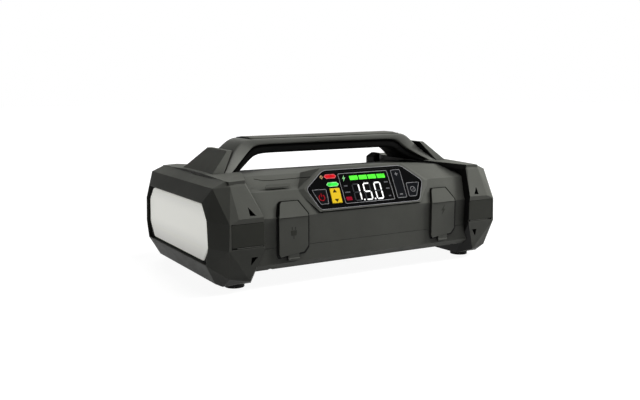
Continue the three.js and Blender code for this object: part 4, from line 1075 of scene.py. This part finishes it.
class PACK_OT_inside(bpy.types.Operator):
    """Finishes of what stands inside: battery, boards and inflator"""

    bl_idname = "pack.inside"
    bl_label = "Inside"

    def execute(self, context):
        rows = {
            "board": ("control_board", "power_board"),
            "gloss_black": ("display_module",),
            "nylon": ("battery_tray", "crank_gear"),
            "cell_wrap": tuple(f"battery_cell_{i}" for i in (1, 2, 3, 4)),
            "steel": ("inflator_motor", "motor_pinion"),
            "aluminium": ("inflator_frame", "inflator_cylinder", "cylinder_head", "piston_and_rod"),
        }
        for material, names in rows.items():
            for name in names:
                finish_node(name, material)
        return {"FINISHED"}


# ---- The stage ----

# Lengths on the stage are in metres and angles in degrees.
FLOOR_SIZE = 12.0
FLOOR_DROP = 0.0002  # how far the floor lies under the feet
FLOOR_GREY = (0.16, 0.16, 0.16, 1)
AIM = Vector((0, 0, 0.06))  # what the lamps look at
CAMERA_SPOT = (-0.4002, -0.6636, 0.1757)
CAMERA_DIP = 8.62
CAMERA_TURN = -31.05
CAMERA_LENS = 42.42  # in millimetres, on a film 36 mm wide


def pale_ground(name, colour, near, far):
    """A pale surface that looks white, whiter with distance, and still shows the object's shadow."""
    material = bpy.data.materials.new(name)
    material.use_nodes = True
    wires = Wiring(material.node_tree)
    matt = {"Base Color": colour, "Roughness": 0.9, "Specular IOR Level": 0.1}
    shader = wires.add("ShaderNodeBsdfPrincipled", matt)
    path = wires.add("ShaderNodeLightPath").outputs
    seen = wires.maths("MAXIMUM", path["Is Camera Ray"], path["Is Glossy Ray"])
    seen = wires.maths("MAXIMUM", seen, path["Is Transmission Ray"])
    away = wires.add("ShaderNodeVectorMath", {0: wires.place()}, operation="LENGTH").outputs["Value"]
    share = wires.spread(away, 0.25, 1.1, near, far)
    glow = wires.maths("MULTIPLY", seen, share)
    white = wires.add("ShaderNodeEmission", {"Color": WHITE, "Strength": glow})
    both = wires.add("ShaderNodeAddShader", {0: shader.outputs[0], 1: white.outputs[0]})
    wires.add("ShaderNodeOutputMaterial", {"Surface": both.outputs[0]})
    return material


class PACK_OT_stage(bpy.types.Operator):
    """Pale floor, white surround, soft lamps and the camera"""

    bl_idname = "pack.stage"
    bl_label = "Stage"

    def execute(self, context):
        self.floor()
        self.surround()
        self.lamps()
        self.camera()
        context.scene.view_settings.view_transform = "Standard"
        return {"FINISHED"}

    def floor(self):
        clear_selection()
        bpy.ops.mesh.primitive_plane_add(size=FLOOR_SIZE, location=(0, 0, -FLOOR_DROP))
        ground = bpy.context.object
        ground.name = "floor"
        bpy.ops.object.transform_apply(location=True)
        ground.data.materials.append(pale_ground("Pale ground", FLOOR_GREY, 0.93, 1.0))

    def surround(self):
        world = bpy.context.scene.world or bpy.data.worlds.new("World")
        bpy.context.scene.world = world
        world.use_nodes = True
        wires = Wiring(world.node_tree)
        path = wires.add("ShaderNodeLightPath").outputs
        seen = wires.maths("MAXIMUM", path["Is Camera Ray"], path["Is Transmission Ray"])
        way = wires.add("ShaderNodeTexCoord").outputs["Generated"]
        rise = wires.add("ShaderNodeSeparateXYZ", {"Vector": way}).outputs["Z"]
        backdrop = wires.spread(rise, 0.3, 0.1)
        seen = wires.maths("MAXIMUM", seen, wires.maths("MULTIPLY", path["Is Glossy Ray"], backdrop))
        dim = wires.add("ShaderNodeBackground", {"Color": WHITE, "Strength": look().surround_light})
        white = wires.add("ShaderNodeBackground", {"Color": WHITE, "Strength": 1.0})
        mix = wires.add("ShaderNodeMixShader", {0: seen, 1: dim.outputs[0], 2: white.outputs[0]})
        wires.add("ShaderNodeOutputWorld", {"Surface": mix.outputs[0]})

    def lamps(self):
        # A lamp, its place, its size and its power.
        rows = (
            ("key_lamp", (1.15, -0.3, 0.76), 0.4, look().key_light),
            ("top_lamp", (0.45, -0.3, 1.55), 0.9, look().key_light * 0.6),
            ("rear_lamp", (0.3, 1.7, 0.7), 0.9, look().key_light * 0.9),
        )
        for name, spot, size, power in rows:
            clear_selection()
            bpy.ops.object.light_add(type="AREA", location=spot)
            lamp = bpy.context.object
            lamp.name = lamp.data.name = name
            lamp.data.energy = power
            lamp.data.size = size
            lamp.visible_glossy = False
            lamp.rotation_euler = (AIM - Vector(spot)).to_track_quat("-Z", "Y").to_euler()

    def camera(self):
        clear_selection()
        bpy.ops.object.camera_add(location=CAMERA_SPOT)
        camera = bpy.context.object
        camera.name = "camera"
        camera.rotation_euler = (math.radians(90 - CAMERA_DIP), 0.0, math.radians(CAMERA_TURN))
        camera.data.sensor_width = 36.0
        camera.data.lens = CAMERA_LENS
        camera.data.clip_end = 30.0
        bpy.context.scene.camera = camera


class PACK_PT_sidebar(bpy.types.Panel):
    """Lists the pieces and their settings"""

    bl_label = "Jump Starter"
    bl_idname = "PACK_PT_sidebar"
    bl_space_type = "VIEW_3D"
    bl_region_type = "UI"
    bl_category = "Jump Starter"

    def draw(self, context):
        layout = self.layout
        for setting in JumpStarterLook.__annotations__:
            layout.prop(context.scene.jump_starter, setting)
        for piece in PIECES:
            layout.operator(piece.bl_idname)


PIECES = (
    PACK_OT_shells,
    PACK_OT_caps,
    PACK_OT_handle,
    PACK_OT_light,
    PACK_OT_panel,
    PACK_OT_display,
    PACK_OT_keys,
    PACK_OT_port_covers,
    PACK_OT_output_end,
    PACK_OT_underside,
    PACK_OT_inside,
    PACK_OT_stage,
)


def register():
    for kind in (JumpStarterLook, *PIECES, PACK_PT_sidebar):
        bpy.utils.register_class(kind)
    bpy.types.Scene.jump_starter = bpy.props.PointerProperty(type=JumpStarterLook)


def unregister():
    del bpy.types.Scene.jump_starter
    for kind in (PACK_PT_sidebar, *reversed(PIECES), JumpStarterLook):
        bpy.utils.unregister_class(kind)


def main():
    register()
    clear_selection()
    bpy.ops.pack.shells()
    bpy.ops.pack.caps()
    bpy.ops.pack.handle()
    bpy.ops.pack.light()
    bpy.ops.pack.panel()
    bpy.ops.pack.display()
    bpy.ops.pack.keys()
    bpy.ops.pack.port_covers()
    bpy.ops.pack.output_end()
    bpy.ops.pack.underside()
    bpy.ops.pack.inside()
    bpy.ops.pack.stage()


if __name__ == "__main__":
    main()
